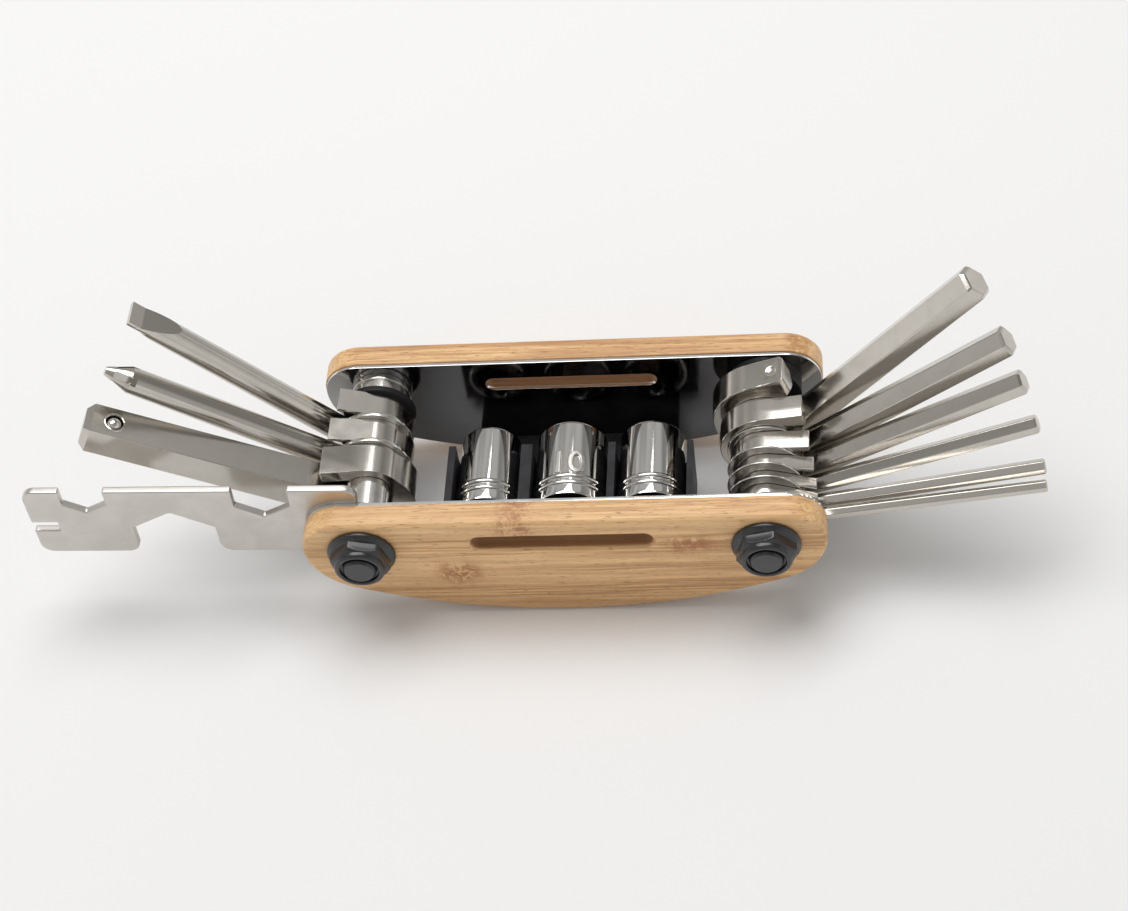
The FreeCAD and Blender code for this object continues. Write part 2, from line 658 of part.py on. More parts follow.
def phillips_driver(lane):
    body, bend = driver_bar("phillips_driver")
    tip = dim("driver_reach")
    shoulder = tip - dim("point_run")
    bar = dim("driver_dia") / 2
    point = dim("point_radius")
    cone = Part.makeCone(bar, point, dim("point_run"), Vector(shoulder, 0, -bend), X_AXIS)
    keep = Part.makeBox(shoulder + 40, 40, 40, Vector(-40, -20, -20)).fuse(cone)
    flutes = []
    for turn in (45, 135, 225, 315):
        flute = Part.makeBox(dim("point_run") + 2, dim("flute_width"), bar)
        flute.translate(Vector(0, -dim("flute_width") / 2, dim("flute_start")))
        flute.rotate(Vector(), Y_AXIS, -dim("flute_lean"))
        flute.rotate(Vector(), X_AXIS, turn)
        flute.translate(Vector(tip - dim("point_run") - 0.4, 0, -bend))
        flutes.append(flute)
    driver = doc.addObject("Part::Feature", "PhillipsDriver")
    driver.Shape = body.Shape.common(keep).cut(Part.makeCompound(flutes))
    body.Label = "phillips_blank"
    driver.Label = "phillips_driver"
    return place_tool(driver, -1, lane, PHILLIPS_TILT)


def square_section(sketch, height, rule):
    add_square(sketch, height, dim("drive_square"), "Dims.drive_square", y_rule=rule)


def bar_bend():
    return EYE_INNER + dim("drive_square") / 2


def extension_bar(lane):
    bend = bar_bend()
    rule = "Dims.sleeve_radius + Dims.run_gap + Dims.drive_square / 2"
    body = hooked_bar("extension_bar", square_section, bend, rule, "Dims.bar_reach")
    forge_eye(body, dim("drive_square"), dim("bar_share"))
    chamfer(body, "Dims.tip_chamfer", at_x(dim("bar_reach")))
    hole = new_sketch(body, "BallPocket", "XY_Plane", f"-{EYE_INNER}")
    add_circle(hole, dim("bar_reach") - dim("ball_from_tip"), 0, dim("ball_radius"), "Dims.ball_radius",
               x_rule="Dims.bar_reach - Dims.ball_from_tip")
    pocket(body, hole, "Dims.pocket_depth")
    return place_tool(body, -1, lane, BAR_TILT)


def detent(lane):
    """The ball stands just proud of the bar's inner face, on a spring in a blind pocket."""
    at_bar = dim("bar_reach") - dim("ball_from_tip")
    centre = Vector(at_bar, 0, -EYE_INNER + dim("ball_rise") - dim("ball_radius"))
    ball = doc.addObject("Part::Sphere", "detent_ball")
    ball.Label = "detent_ball"
    ball.setExpression("Radius", "Dims.ball_radius - Dims.run_gap")
    place_tool(ball, -1, lane, BAR_TILT)
    ball.Placement = ball.Placement * FreeCAD.Placement(centre, FreeCAD.Rotation())
    floor = -EYE_INNER - dim("pocket_depth")
    height = centre.z - dim("ball_radius") - dim("ball_travel") - floor
    wire = dim("spring_wire")
    turns = 3
    coil = Part.makeHelix((height - 2 * wire) / turns, height - 2 * wire, dim("spring_radius"))
    start = Vector(dim("spring_radius"), 0, 0)
    profile = Part.Wire(Part.makeCircle(wire, start, Y_AXIS))
    spring = doc.addObject("Part::Feature", "detent_spring")
    spring.Label = "detent_spring"
    spring.Shape = Part.Wire(coil).makePipeShell([profile], True, True)
    place_tool(spring, -1, lane, BAR_TILT)
    seat = FreeCAD.Placement(Vector(at_bar, 0, floor + wire), FreeCAD.Rotation())
    spring.Placement = spring.Placement * seat
    return [ball, spring]


def wrench_jaw(at, edge_level, depth, flats, sign):
    """An open jaw cut from a straight edge: two flats and the two sides of a hexagon's point."""
    half = flats / 2
    peak = half / math.sqrt(3)
    floor = edge_level - sign * depth
    return [Vector(at - half, edge_level + sign, 0), Vector(at - half, floor + sign * peak, 0),
            Vector(at, floor, 0), Vector(at + half, floor + sign * peak, 0),
            Vector(at + half, edge_level + sign, 0)]


def upright_edge(places):
    """Picks the wrench's edges through its thickness at the given places."""
    def picked(edge):
        box = edge.BoundBox
        if box.YLength < 1 or box.XLength > 0.01:
            return False
        return any(abs(box.Center.x - x) < 0.3 and abs(box.Center.z - z) < 0.3 for x, z in places)

    return picked


def flat_wrench(lane):
    reach = dim("plate_reach")
    top = dim("plate_top")
    low = -dim("plate_low")
    body = new_body("flat_wrench")
    blank = new_sketch(body, "Blank", "XZ_Plane")
    end = dim("plate_end")
    sides = add_outline(blank, [Vector(end, low, 0), Vector(reach, low, 0), Vector(reach, top, 0),
                                Vector(end, top, 0)])
    fix(blank, "Horizontal", sides[0])
    fix(blank, "Vertical", sides[1])
    fix(blank, "Horizontal", sides[2])
    fix(blank, "Vertical", sides[3])
    fix(blank, "DistanceX", -1, 1, sides[3], 1, end, rule="Dims.plate_end")
    fix(blank, "DistanceX", -1, 1, sides[1], 1, reach, rule="Dims.plate_reach")
    fix(blank, "DistanceY", sides[1], 1, -1, 1, -low, rule="Dims.plate_low")
    fix(blank, "DistanceY", -1, 1, sides[2], 1, top, rule="Dims.plate_top")
    pad(body, blank, "Dims.plate_thick", symmetric=True)
    ear = new_sketch(body, "Ear", "XZ_Plane")
    add_circle(ear, 0, 0, dim("ear_radius"), "Dims.ear_radius")
    pad(body, ear, "Dims.plate_thick", symmetric=True)
    hole = new_sketch(body, "PivotHole", "XZ_Plane")
    add_circle(hole, 0, 0, EYE_INNER, "Dims.sleeve_radius + Dims.run_gap")
    pocket(body, hole, "2 * Dims.plate_thick", symmetric=True)
    big_depth = dim("plate_low") + dim("jaw_big_peak")
    jaws = [wrench_jaw(dim("jaw_mid_at"), top, dim("jaw_depth_mid"), dim("jaw_mid"), 1),
            wrench_jaw(dim("jaw_small_at"), top, dim("jaw_depth_small"), dim("jaw_small"), 1),
            wrench_jaw(dim("jaw_big_at"), low, big_depth, dim("jaw_big"), -1)]
    for points in jaws:
        cut = new_sketch(body, "Jaw", "XZ_Plane")
        add_outline(cut, points)
        fix(cut, "Block", 0)
        pocket(body, cut, "2 * Dims.plate_thick", symmetric=True)
    slot_low = dim("spoke_above") - dim("spoke_slot") / 2
    slot_high = dim("spoke_above") + dim("spoke_slot") / 2
    inner = reach - dim("spoke_depth")
    slot = new_sketch(body, "SpokeSlot", "XZ_Plane")
    add_outline(slot, [Vector(inner, slot_low, 0), Vector(reach + 1, slot_low, 0),
                       Vector(reach + 1, slot_high, 0), Vector(inner, slot_high, 0)])
    fix(slot, "Block", 0)
    pocket(body, slot, "2 * Dims.plate_thick", symmetric=True)

    jaw_tip_side = dim("jaw_big_at") + dim("jaw_big") / 2
    jaw_eye_side = dim("jaw_big_at") - dim("jaw_big") / 2
    corners = [(reach, low), (reach, top), (end, top), (jaw_eye_side, low)]
    fillet(body, "Dims.plate_corner", upright_edge(corners))
    fillet(body, "Dims.jaw_lip", upright_edge([(jaw_tip_side, low)]))
    fillet(body, "Dims.jaw_soft", upright_edge([(dim("jaw_big_at"), dim("jaw_big_peak"))]))
    return place_tool(body, -1, lane, WRENCH_TILT)


# ---------------------------------------------------------------- sockets and holder

def socket(name, flats, outer, x):
    """A socket along Y: square drive towards -Y, hexagon mouth towards +Y."""
    length = dim("socket_length")
    rise = dim("ridge_rise")
    bevel = dim("socket_bevel")
    slope = dim("ridge_slope")
    width = dim("ridge_width")
    ridges = []
    for y in (dim("ridge_first"), dim("ridge_second")):
        crest = outer + rise
        ridges += [(outer, y), (crest, y + slope), (crest, y + width - slope), (outer, y + width)]
    body = lathe(f"socket_{name}", [(0, 0), (outer - bevel, 0), (outer, bevel)] + ridges
                 + [(outer, length - bevel), (outer - bevel, length), (0, length)])
    mouth = new_sketch(body, "HexMouth", "XZ_Plane", "-Dims.socket_length")
    add_hexagon(mouth, 0, flats, str(flats))
    pocket(body, mouth, "Dims.hex_depth", reverse=True)
    drive = new_sketch(body, "SquareDrive", "XZ_Plane")
    add_square(drive, 0, dim("drive_square") + dim("square_play"), "(Dims.drive_square + Dims.square_play)")
    pocket(body, drive, "Dims.square_depth")
    body.Placement.Base = Vector(x, dim("socket_front"), -dim("socket_axis"))
    return body


def socket_holder():
    """Moulded holder: three channels between four walls, a front stop, a foot and four pegs."""
    half = dim("holder_half")
    top = -dim("holder_top")
    axis = -dim("socket_axis")
    floor = -dim("holder_floor")
    body = new_body("socket_holder")
    comb = new_sketch(body, "Comb", "XZ_Plane")
    circle_of = {}
    for _, _, outer, x_alias in SOCKETS:
        x = dim(x_alias) if x_alias else 0.0
        circle_of[x] = outer + dim("ridge_rise") + dim("socket_fit")
    marks = [Vector(half, top, 0), Vector(half, floor, 0), Vector(-half, floor, 0), Vector(-half, top, 0)]
    for x in sorted(circle_of):
        radius = circle_of[x]
        left = Vector(x - radius, axis, 0)
        right = Vector(x + radius, axis, 0)
        marks += [Vector(x - radius, top, 0), left]
        for start, end in zip(marks[:-1], marks[1:]):
            comb.addGeometry(Part.LineSegment(start, end))
        cradle = Part.Circle(Vector(x, axis, 0), Z_AXIS, radius)
        comb.addGeometry(Part.ArcOfCircle(cradle, math.pi, 2 * math.pi))
        marks = [right, Vector(x + radius, top, 0)]
    marks.append(Vector(half, top, 0))
    for start, end in zip(marks[:-1], marks[1:]):
        comb.addGeometry(Part.LineSegment(start, end))
    comb.setExpression("AttachmentOffset.Base.z", "-Dims.holder_rear")
    pad(body, comb, "Dims.holder_rear - Dims.holder_front")
    stop = new_sketch(body, "FrontStop", "XZ_Plane", "-(Dims.socket_front - Dims.socket_fit)")
    wall = half - dim("stop_inset")
    add_outline(stop, [Vector(-wall, floor, 0), Vector(wall, floor, 0),
                       Vector(wall, -dim("stop_height"), 0), Vector(-wall, -dim("stop_height"), 0)])
    fix(stop, "Block", 0)
    pad(body, stop, "Dims.socket_front - Dims.socket_fit - Dims.holder_front")
    foot = new_sketch(body, "Foot", "XZ_Plane")
    foot_half = dim("foot_half")
    add_outline(foot, [Vector(-foot_half, floor, 0), Vector(foot_half, floor, 0),
                       Vector(foot_half, floor + dim("foot_thick"), 0),
                       Vector(-foot_half, floor + dim("foot_thick"), 0)])
    fix(foot, "Block", 0)
    pad(body, foot, "Dims.gap", symmetric=True)
    pegs = new_sketch(body, "Pegs", "XZ_Plane")
    for side, rule in ((-1, "-Dims.peg_half"), (1, "Dims.peg_half")):
        add_circle(pegs, side * dim("peg_half"), peg_height(), dim("peg_radius"), "Dims.peg_radius",
                   x_rule=rule, y_rule="-Dims.holder_floor + Dims.foot_thick / 2")
    pad(body, pegs, "Dims.gap + 2 * Dims.liner_thick", symmetric=True)
    return body


# ---------------------------------------------------------------- assembly

def right_stack():
    """Hexagon keys from the front liner to the rear one, with their washers and spacers."""
    gap = dim("run_gap")
    front = -LINER_FACE
    key_start = front + gap + dim("plate_thick") + dim("front_clear")
    pieces = [to_pivot(ring("right_front_spacer", dim("spacer_radius"), dim("sleeve_radius"),
                            key_start - gap - front, front), 1)]
    washer_starts = []
    y = key_start
    for name, flats, tilt, share in HEX_KEYS:
        pieces.append(hex_key(name, flats, y + flats / 2, tilt, share))
        y += flats + gap
        if name == "5":
            pieces.append(to_pivot(ring("right_middle_spacer", dim("washer_radius"), dim("sleeve_radius"),
                                        dim("mid_spacer"), y), 1))
            y += dim("mid_spacer") + gap
        elif name != "6":
            washer_starts.append(y)
            y += dim("thin_washer") + gap
    pieces.append(to_pivot(washer_group("right_washers", washer_starts, dim("thin_washer"),
                                        dim("washer_radius")), 1))
    pieces.append(to_pivot(ring("right_rear_spacer", dim("washer_radius"), dim("sleeve_radius"),
                                LINER_FACE - y, y), 1))
    return pieces


def left_stack():
    """Flat wrench, square bar and two drivers, front to rear."""
    gap = dim("run_gap")
    front = -LINER_FACE
    wrench_lane = front + gap + dim("plate_thick") / 2
    spool_start = LINER_FACE - dim("spool_length")
    dark_start = spool_start - dim("dark_washer")
    slotted_lane = dark_start - gap - dim("driver_dia") / 2
    rear_washer = slotted_lane - dim("driver_dia") / 2 - gap - dim("left_washer")
    phillips_lane = rear_washer - gap - dim("driver_dia") / 2
    front_washer = phillips_lane - dim("driver_dia") / 2 - gap - dim("left_washer")
    bar_lane = front_washer - gap - dim("drive_square") / 2
    spacer_start = wrench_lane + dim("plate_thick") / 2 + gap
    spacer_length = bar_lane - dim("drive_square") / 2 - gap - spacer_start
    sleeve = dim("sleeve_radius")
    wide = dim("washer_radius")
    rings = [ring("left_front_spacer", dim("spacer_radius"), sleeve, spacer_length, spacer_start),
             washer_group("left_washers", [front_washer, rear_washer], dim("left_washer"), wide),
             ring("left_rear_washer", wide, sleeve, dim("dark_washer"), dark_start),
             spool("left_spool", spool_start, dim("spool_length"))]
    tools = [flat_wrench(wrench_lane), extension_bar(bar_lane), phillips_driver(phillips_lane),
             slotted_driver(slotted_lane)]
    return [to_pivot(piece, -1) for piece in rings] + tools + detent(bar_lane)


def build():
    parts = side_plates()
    for name, side in (("left", -1), ("right", 1)):
        parts.append(to_pivot(bolt(f"{name}_bolt"), side))
        parts.append(to_pivot(nut(f"{name}_nut"), side))
        sleeve = ring(f"{name}_sleeve", dim("sleeve_radius"), dim("bolt_radius"), dim("gap"), -LINER_FACE)
        parts.append(to_pivot(sleeve, side))
    parts += right_stack()
    parts += left_stack()
    parts.append(socket_holder())
    for name, flats, outer, x_alias in SOCKETS:
        parts.append(socket(name, flats, outer, dim(x_alias) if x_alias else 0.0))
    return parts


def check(parts):
    doc.recompute()
    for item in doc.Objects:
        if "Invalid" in item.State or "Error" in item.State:
            raise RuntimeError(f"{item.Label} ({item.TypeId}) is {item.State}")
    for piece in parts:
        if piece.Shape.isNull() or not piece.Shape.isValid():
            raise RuntimeError(f"{piece.Label}: bad shape")


def export(parts):
    os.makedirs("parts", exist_ok=True)
    for piece in parts:
        piece.Shape.exportStep(f"parts/{piece.Label}.step")


all_parts = build()
check(all_parts)
export(all_parts)
for part in all_parts:
    box = part.Shape.BoundBox
    print(f"{part.Label:22s} solids {len(part.Shape.Solids)} volume {part.Shape.Volume:9.1f}", box)
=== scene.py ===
import json
import math

import bmesh
import bpy
from mathutils import Matrix, Vector

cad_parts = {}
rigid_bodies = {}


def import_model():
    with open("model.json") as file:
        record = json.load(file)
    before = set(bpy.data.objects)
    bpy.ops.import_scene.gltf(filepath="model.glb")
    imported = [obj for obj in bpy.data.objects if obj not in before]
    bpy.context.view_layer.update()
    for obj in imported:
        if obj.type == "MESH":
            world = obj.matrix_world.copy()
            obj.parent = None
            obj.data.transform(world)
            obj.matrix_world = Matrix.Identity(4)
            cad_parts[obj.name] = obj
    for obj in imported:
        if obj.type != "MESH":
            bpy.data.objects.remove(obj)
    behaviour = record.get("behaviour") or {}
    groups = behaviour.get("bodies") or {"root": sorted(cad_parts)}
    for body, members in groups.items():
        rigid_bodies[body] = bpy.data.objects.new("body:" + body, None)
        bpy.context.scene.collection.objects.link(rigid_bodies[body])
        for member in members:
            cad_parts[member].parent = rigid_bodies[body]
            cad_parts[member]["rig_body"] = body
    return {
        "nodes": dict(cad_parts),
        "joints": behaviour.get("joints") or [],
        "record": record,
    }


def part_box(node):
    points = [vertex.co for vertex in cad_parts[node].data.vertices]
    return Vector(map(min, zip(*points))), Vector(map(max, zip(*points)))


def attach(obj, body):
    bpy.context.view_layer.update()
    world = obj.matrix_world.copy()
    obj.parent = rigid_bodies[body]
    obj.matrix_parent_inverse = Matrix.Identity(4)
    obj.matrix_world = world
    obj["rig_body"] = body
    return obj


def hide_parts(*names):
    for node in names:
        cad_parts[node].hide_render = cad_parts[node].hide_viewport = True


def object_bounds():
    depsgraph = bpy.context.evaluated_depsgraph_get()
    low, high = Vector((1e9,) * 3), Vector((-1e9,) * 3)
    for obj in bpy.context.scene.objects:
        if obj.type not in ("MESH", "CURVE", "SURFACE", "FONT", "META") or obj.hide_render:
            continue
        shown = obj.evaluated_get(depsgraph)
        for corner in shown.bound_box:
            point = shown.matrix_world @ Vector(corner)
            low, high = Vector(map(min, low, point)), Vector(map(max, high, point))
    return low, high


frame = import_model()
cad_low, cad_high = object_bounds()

# A folding bicycle multi-tool: two bamboo scales over steel liners, a fan of
# hexagon keys and drivers at either end, and three sockets in a black holder.
# Shapes are worked in millimetres and brought to metres when they are finished.

MM = 0.001
X_AXIS = Vector((1, 0, 0))
Y_AXIS = Vector((0, 1, 0))
Z_AXIS = Vector((0, 0, 1))
SCENE = bpy.context.scene
MERGE = 1e-4
CUT = 1e-5
RING_POINTS = 96

joint_of = {joint["child"]: joint for joint in frame["joints"]}
mount_of = {mount["name"]: mount for mount in frame["record"]["mounts"]}


def body_of(node):
    return frame["nodes"][node]["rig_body"]


def box_mm(node):
    low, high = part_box(node)
    return low / MM, high / MM


# ---------------------------------------------------------------- node material helpers

def new_finish(name):
    material = bpy.data.materials.new(name)
    material.use_nodes = True
    tree = material.node_tree
    return material, tree, tree.nodes["Principled BSDF"]


def plug(tree, socket, value):
    if isinstance(value, bpy.types.NodeSocket):
        tree.links.new(value, socket)
    else:
        socket.default_value = value


def add(tree, kind, settings=None, **inputs):
    node = tree.nodes.new(kind)
    for key, value in (settings or {}).items():
        setattr(node, key, value)
    for key, value in inputs.items():
        plug(tree, node.inputs[key.replace("_", " ")], value)
    return node


def calc(tree, operation, first, second=0.0, third=0.0, clamp=False):
    node = add(tree, "ShaderNodeMath", {"operation": operation, "use_clamp": clamp})
    for socket, value in zip(node.inputs, (first, second, third)):
        plug(tree, socket, value)
    return node.outputs[0]


def mix(tree, factor, first, second, blend="MIX"):
    node = add(tree, "ShaderNodeMix", {"data_type": "RGBA", "blend_type": blend})
    plug(tree, node.inputs["Factor"], factor)
    plug(tree, node.inputs[6], first)
    plug(tree, node.inputs[7], second)
    return node.outputs[2]


def spread(tree, value, low, high, out_low=0.0, out_high=1.0):
    """Maps low..high of a value smoothly to out_low..out_high."""
    node = add(tree, "ShaderNodeMapRange", {"interpolation_type": "SMOOTHSTEP"})
    for key, number in (("From Min", low), ("From Max", high), ("To Min", out_low), ("To Max", out_high)):
        node.inputs[key].default_value = number
    plug(tree, node.inputs["Value"], value)
    return node.outputs["Result"]


def object_place(tree):
    return add(tree, "ShaderNodeTexCoord").outputs["Object"]


def stretched(tree, place, scale, turn=(0, 0, 0), move=(0, 0, 0)):
    node = add(tree, "ShaderNodeMapping")
    node.inputs["Scale"].default_value = scale
    node.inputs["Rotation"].default_value = turn
    node.inputs["Location"].default_value = move
    plug(tree, node.inputs["Vector"], place)
    return node.outputs["Vector"]


def cloud(tree, place, scale, detail=3.0, roughness=0.5, distortion=0.0):
    node = add(tree, "ShaderNodeTexNoise", Vector=place, Scale=scale, Detail=detail,
               Roughness=roughness, Distortion=distortion)
    return node.outputs["Fac"]


def relief(tree, height, depth, strength):
    return add(tree, "ShaderNodeBump", Height=height, Distance=depth, Strength=strength).outputs["Normal"]


def from_centre(tree, across, up):
    """Distance from a centre, out of its two parts."""
    squares = calc(tree, "ADD", calc(tree, "POWER", across, 2.0), calc(tree, "POWER", up, 2.0))
    return calc(tree, "SQRT", squares)


def edge_light(tree, low=0.52, high=0.6):
    """1 on a piece's rounded edges and 0 on its faces."""
    return spread(tree, add(tree, "ShaderNodeNewGeometry").outputs["Pointiness"], low, high)


# ---------------------------------------------------------------- finishes

SLOT_LENGTH = 32.0
SLOT_WIDTH = 3.2

# The bamboo's joints on each plate: place along X and Z, and half size along X and Z.
FRONT_NODES = [(-8.0, 4.2, 4.6, 4.6), (-19.1, -8.1, 5.8, 4.8), (22.5, -1.5, 6.0, 3.6)]
REAR_NODES = [(12.0, -9.0, 4.4, 3.6), (-30.0, 3.5, 4.0, 3.0), (41.0, 4.0, 3.0, 3.0)]


def bamboo_finish(name, node_marks):
    """Lacquered bamboo: fibres along X, strips, flecks, growth rings, slot walls darkened partly as burn and
    partly as painted shade, and painted shade on the lower part.
    """
    material, tree, shader = new_finish(name)
    place = object_place(tree)
    sway = cloud(tree, place, 28.0, 2.0)
    parts = add(tree, "ShaderNodeSeparateXYZ", Vector=place)
    across = calc(tree, "MULTIPLY_ADD", calc(tree, "SUBTRACT", sway, 0.5), 0.0016, parts.outputs["Z"])
    bent = add(tree, "ShaderNodeCombineXYZ", X=parts.outputs["X"], Y=parts.outputs["Y"], Z=across)
    bent = bent.outputs["Vector"]
    fibre = cloud(tree, stretched(tree, bent, (55, 2100, 2100)), 1.0, 5.0, 0.62)
    streak = cloud(tree, stretched(tree, bent, (24, 620, 620), move=(3, 1, 2)), 1.0, 3.0, 0.5)
    strip = cloud(tree, stretched(tree, bent, (7, 60, 190), move=(9, 4, 5)), 1.0, 1.0)
    fleck = cloud(tree, stretched(tree, bent, (420, 4600, 4600), move=(1, 7, 3)), 1.0, 2.0)

    tone = mix(tree, spread(tree, fibre, 0.34, 0.66), (0.53, 0.285, 0.115, 1), (0.88, 0.56, 0.27, 1))
    tone = mix(tree, spread(tree, streak, 0.46, 0.66, 0.0, 0.62), tone, (0.47, 0.225, 0.085, 1))
    tone = mix(tree, spread(tree, strip, 0.42, 0.58, 0.0, 0.42), tone, (0.92, 0.61, 0.31, 1))
    tone = mix(tree, spread(tree, fleck, 0.60, 0.70, 0.0, 0.70), tone, (0.26, 0.105, 0.045, 1))

    ripple = cloud(tree, stretched(tree, place, (620, 700, 300)), 1.0, 4.0, 0.7, 1.4)
    broken = cloud(tree, stretched(tree, place, (260, 500, 700), move=(5, 5, 5)), 1.0, 2.0, 0.5, 0.8)
    stain = calc(tree, "MULTIPLY", spread(tree, ripple, 0.40, 0.54), spread(tree, broken, 0.30, 0.50))
    marked = None
    for x, z, half_x, half_z in node_marks:
        dx = calc(tree, "DIVIDE", calc(tree, "SUBTRACT", parts.outputs["X"], x * MM), half_x * MM)
        dz = calc(tree, "DIVIDE", calc(tree, "SUBTRACT", parts.outputs["Z"], z * MM), half_z * MM)
        near = spread(tree, from_centre(tree, dx, dz), 0.25, 1.05, 1.0, 0.0)
        marked = near if marked is None else calc(tree, "MAXIMUM", marked, near)
    joint_ring = calc(tree, "MULTIPLY", stain, marked)
    tone = mix(tree, calc(tree, "MULTIPLY", joint_ring, 0.85), tone, (0.38, 0.13, 0.04, 1))

    straight = (SLOT_LENGTH - SLOT_WIDTH) / 2 * MM
    past_end = calc(tree, "SUBTRACT", calc(tree, "ABSOLUTE", parts.outputs["X"]), straight)
    past_end = calc(tree, "MAXIMUM", past_end, 0.0)
    wall = calc(tree, "SUBTRACT", from_centre(tree, past_end, parts.outputs["Z"]), SLOT_WIDTH / 2 * MM)
    # Slot walls darkened: partly burn from cutting, partly painted shade in the slot's recess.
    burn_and_painted_shade = spread(tree, wall, 0.00002, 0.00028, 0.72, 0.0)
    tone = mix(tree, burn_and_painted_shade, tone, (0.30, 0.145, 0.062, 1))
    # Painted shade: the lower part of each plate is darkened as if lit from above.
    painted_lower_shade = spread(tree, parts.outputs["Z"], -0.0205, -0.003, 0.62, 0.0)
    tone = mix(tree, painted_lower_shade, tone, (0.62, 0.55, 0.50, 1), "MULTIPLY")
    tree.links.new(tone, shader.inputs["Base Color"])

    gloss = calc(tree, "MULTIPLY_ADD", fibre, 0.18, 0.36)
    tree.links.new(gloss, shader.inputs["Roughness"])
    raised = calc(tree, "ADD", calc(tree, "MULTIPLY", fibre, 0.7), calc(tree, "MULTIPLY", streak, 0.3))
    raised = calc(tree, "SUBTRACT", raised, calc(tree, "MULTIPLY", joint_ring, 0.5))
    tree.links.new(relief(tree, raised, 0.00006, 0.45), shader.inputs["Normal"])
    shader.inputs["Coat Weight"].default_value = 0.12
    shader.inputs["Coat Roughness"].default_value = 0.3
    return material


def painted_rim_light_of(tree):
    """Mask for painted highlight: 1 on a plate's cut rim and 0 on its broad faces, rising a little towards
    the handle's ends as painted reflection.
    """
    spot = add(tree, "ShaderNodeTexCoord")
    facing = add(tree, "ShaderNodeSeparateXYZ", Vector=spot.outputs["Normal"])
    rim = spread(tree, calc(tree, "ABSOLUTE", facing.outputs["Y"]), 0.80, 0.97, 1.0, 0.0)
    parts = add(tree, "ShaderNodeSeparateXYZ", Vector=spot.outputs["Object"])
    # Painted reflection: the broad faces brighten towards the handle's ends.
    end = spread(tree, calc(tree, "ABSOLUTE", parts.outputs["X"]), 0.035, 0.044, 0.0, 0.45)
    return calc(tree, "MAXIMUM", rim, end)


def steel_finish(name, colour, roughness, mottle, scratch, wear, patch=320.0, painted_rim_light=None):
    """Plated steel: patchy roughness, fine scratches two ways, brighter worn edges, maybe a painted highlight
    colour on a plate's rim.
    """
    material, tree, shader = new_finish(name)
    place = object_place(tree)
    patches = cloud(tree, place, patch, 4.0, 0.6, 0.4)
    fine = cloud(tree, place, patch * 9, 3.0, 0.6)
    down = cloud(tree, stretched(tree, place, (90, 3800, 3800), turn=(0.3, 0.5, 0.2)), 1.0, 2.0)
    over = cloud(tree, stretched(tree, place, (3600, 80, 3600), turn=(0.7, 0.1, 0.9)), 1.0, 2.0)
    lines = calc(tree, "MAXIMUM", spread(tree, down, 0.60, 0.74), spread(tree, over, 0.62, 0.76))
    worn = edge_light(tree)

    dull = tuple(part * 0.80 for part in colour) + (1,)
    bright = tuple(min(1.0, part * 1.16) for part in colour) + (1,)
    tone = mix(tree, spread(tree, patches, 0.35, 0.68, 0.0, min(1.0, mottle * 8)), tuple(colour) + (1,), dull)
    tone = mix(tree, calc(tree, "MULTIPLY", worn, wear), tone, bright)
    # Painted highlight: a bright colour laid on the plate's rim.
    if painted_rim_light:
        tone = mix(tree, painted_rim_light_of(tree), tone, tuple(painted_rim_light) + (1,))
    tree.links.new(tone, shader.inputs["Base Color"])

    rough = calc(tree, "MULTIPLY_ADD", spread(tree, patches, 0.3, 0.7), mottle * 1.6, roughness)
    rough = calc(tree, "MULTIPLY_ADD", lines, scratch * 0.2, rough)
    rough = calc(tree, "MULTIPLY_ADD", worn, -0.25 * roughness, rough, clamp=True)
    tree.links.new(rough, shader.inputs["Roughness"])
    height = calc(tree, "ADD", calc(tree, "MULTIPLY", fine, 0.25), calc(tree, "MULTIPLY", lines, -scratch))
    tree.links.new(relief(tree, height, 0.000004, 0.4), shader.inputs["Normal"])
    shader.inputs["Metallic"].default_value = 1.0
    return material


def turned_finish(name, colour, roughness, centre_x, centre_z):
    """Bright turned steel: fine rings round the pivot, on both pivots alike."""
    material, tree, shader = new_finish(name)
    place = object_place(tree)
    parts = add(tree, "ShaderNodeSeparateXYZ", Vector=place)
    dx = calc(tree, "SUBTRACT", calc(tree, "ABSOLUTE", parts.outputs["X"]), centre_x)
    dz = calc(tree, "SUBTRACT", parts.outputs["Z"], centre_z)
    radius = from_centre(tree, dx, dz)
    rings = add(tree, "ShaderNodeCombineXYZ", X=calc(tree, "MULTIPLY", radius, 9000.0),
                Y=calc(tree, "MULTIPLY", parts.outputs["Y"], 5200.0))
    cut = cloud(tree, rings.outputs["Vector"], 1.0, 2.0)
    patches = cloud(tree, place, 420.0, 3.0, 0.6)
    dull = tuple(part * 0.82 for part in colour) + (1,)
    tone = mix(tree, spread(tree, patches, 0.42, 0.7, 0.0, 0.6), tuple(colour) + (1,), dull)
    tree.links.new(tone, shader.inputs["Base Color"])
    rough = calc(tree, "MULTIPLY_ADD", patches, 0.12, roughness)
    tree.links.new(rough, shader.inputs["Roughness"])
    tree.links.new(relief(tree, cut, 0.000012, 0.55), shader.inputs["Normal"])
    shader.inputs["Metallic"].default_value = 1.0
    return material


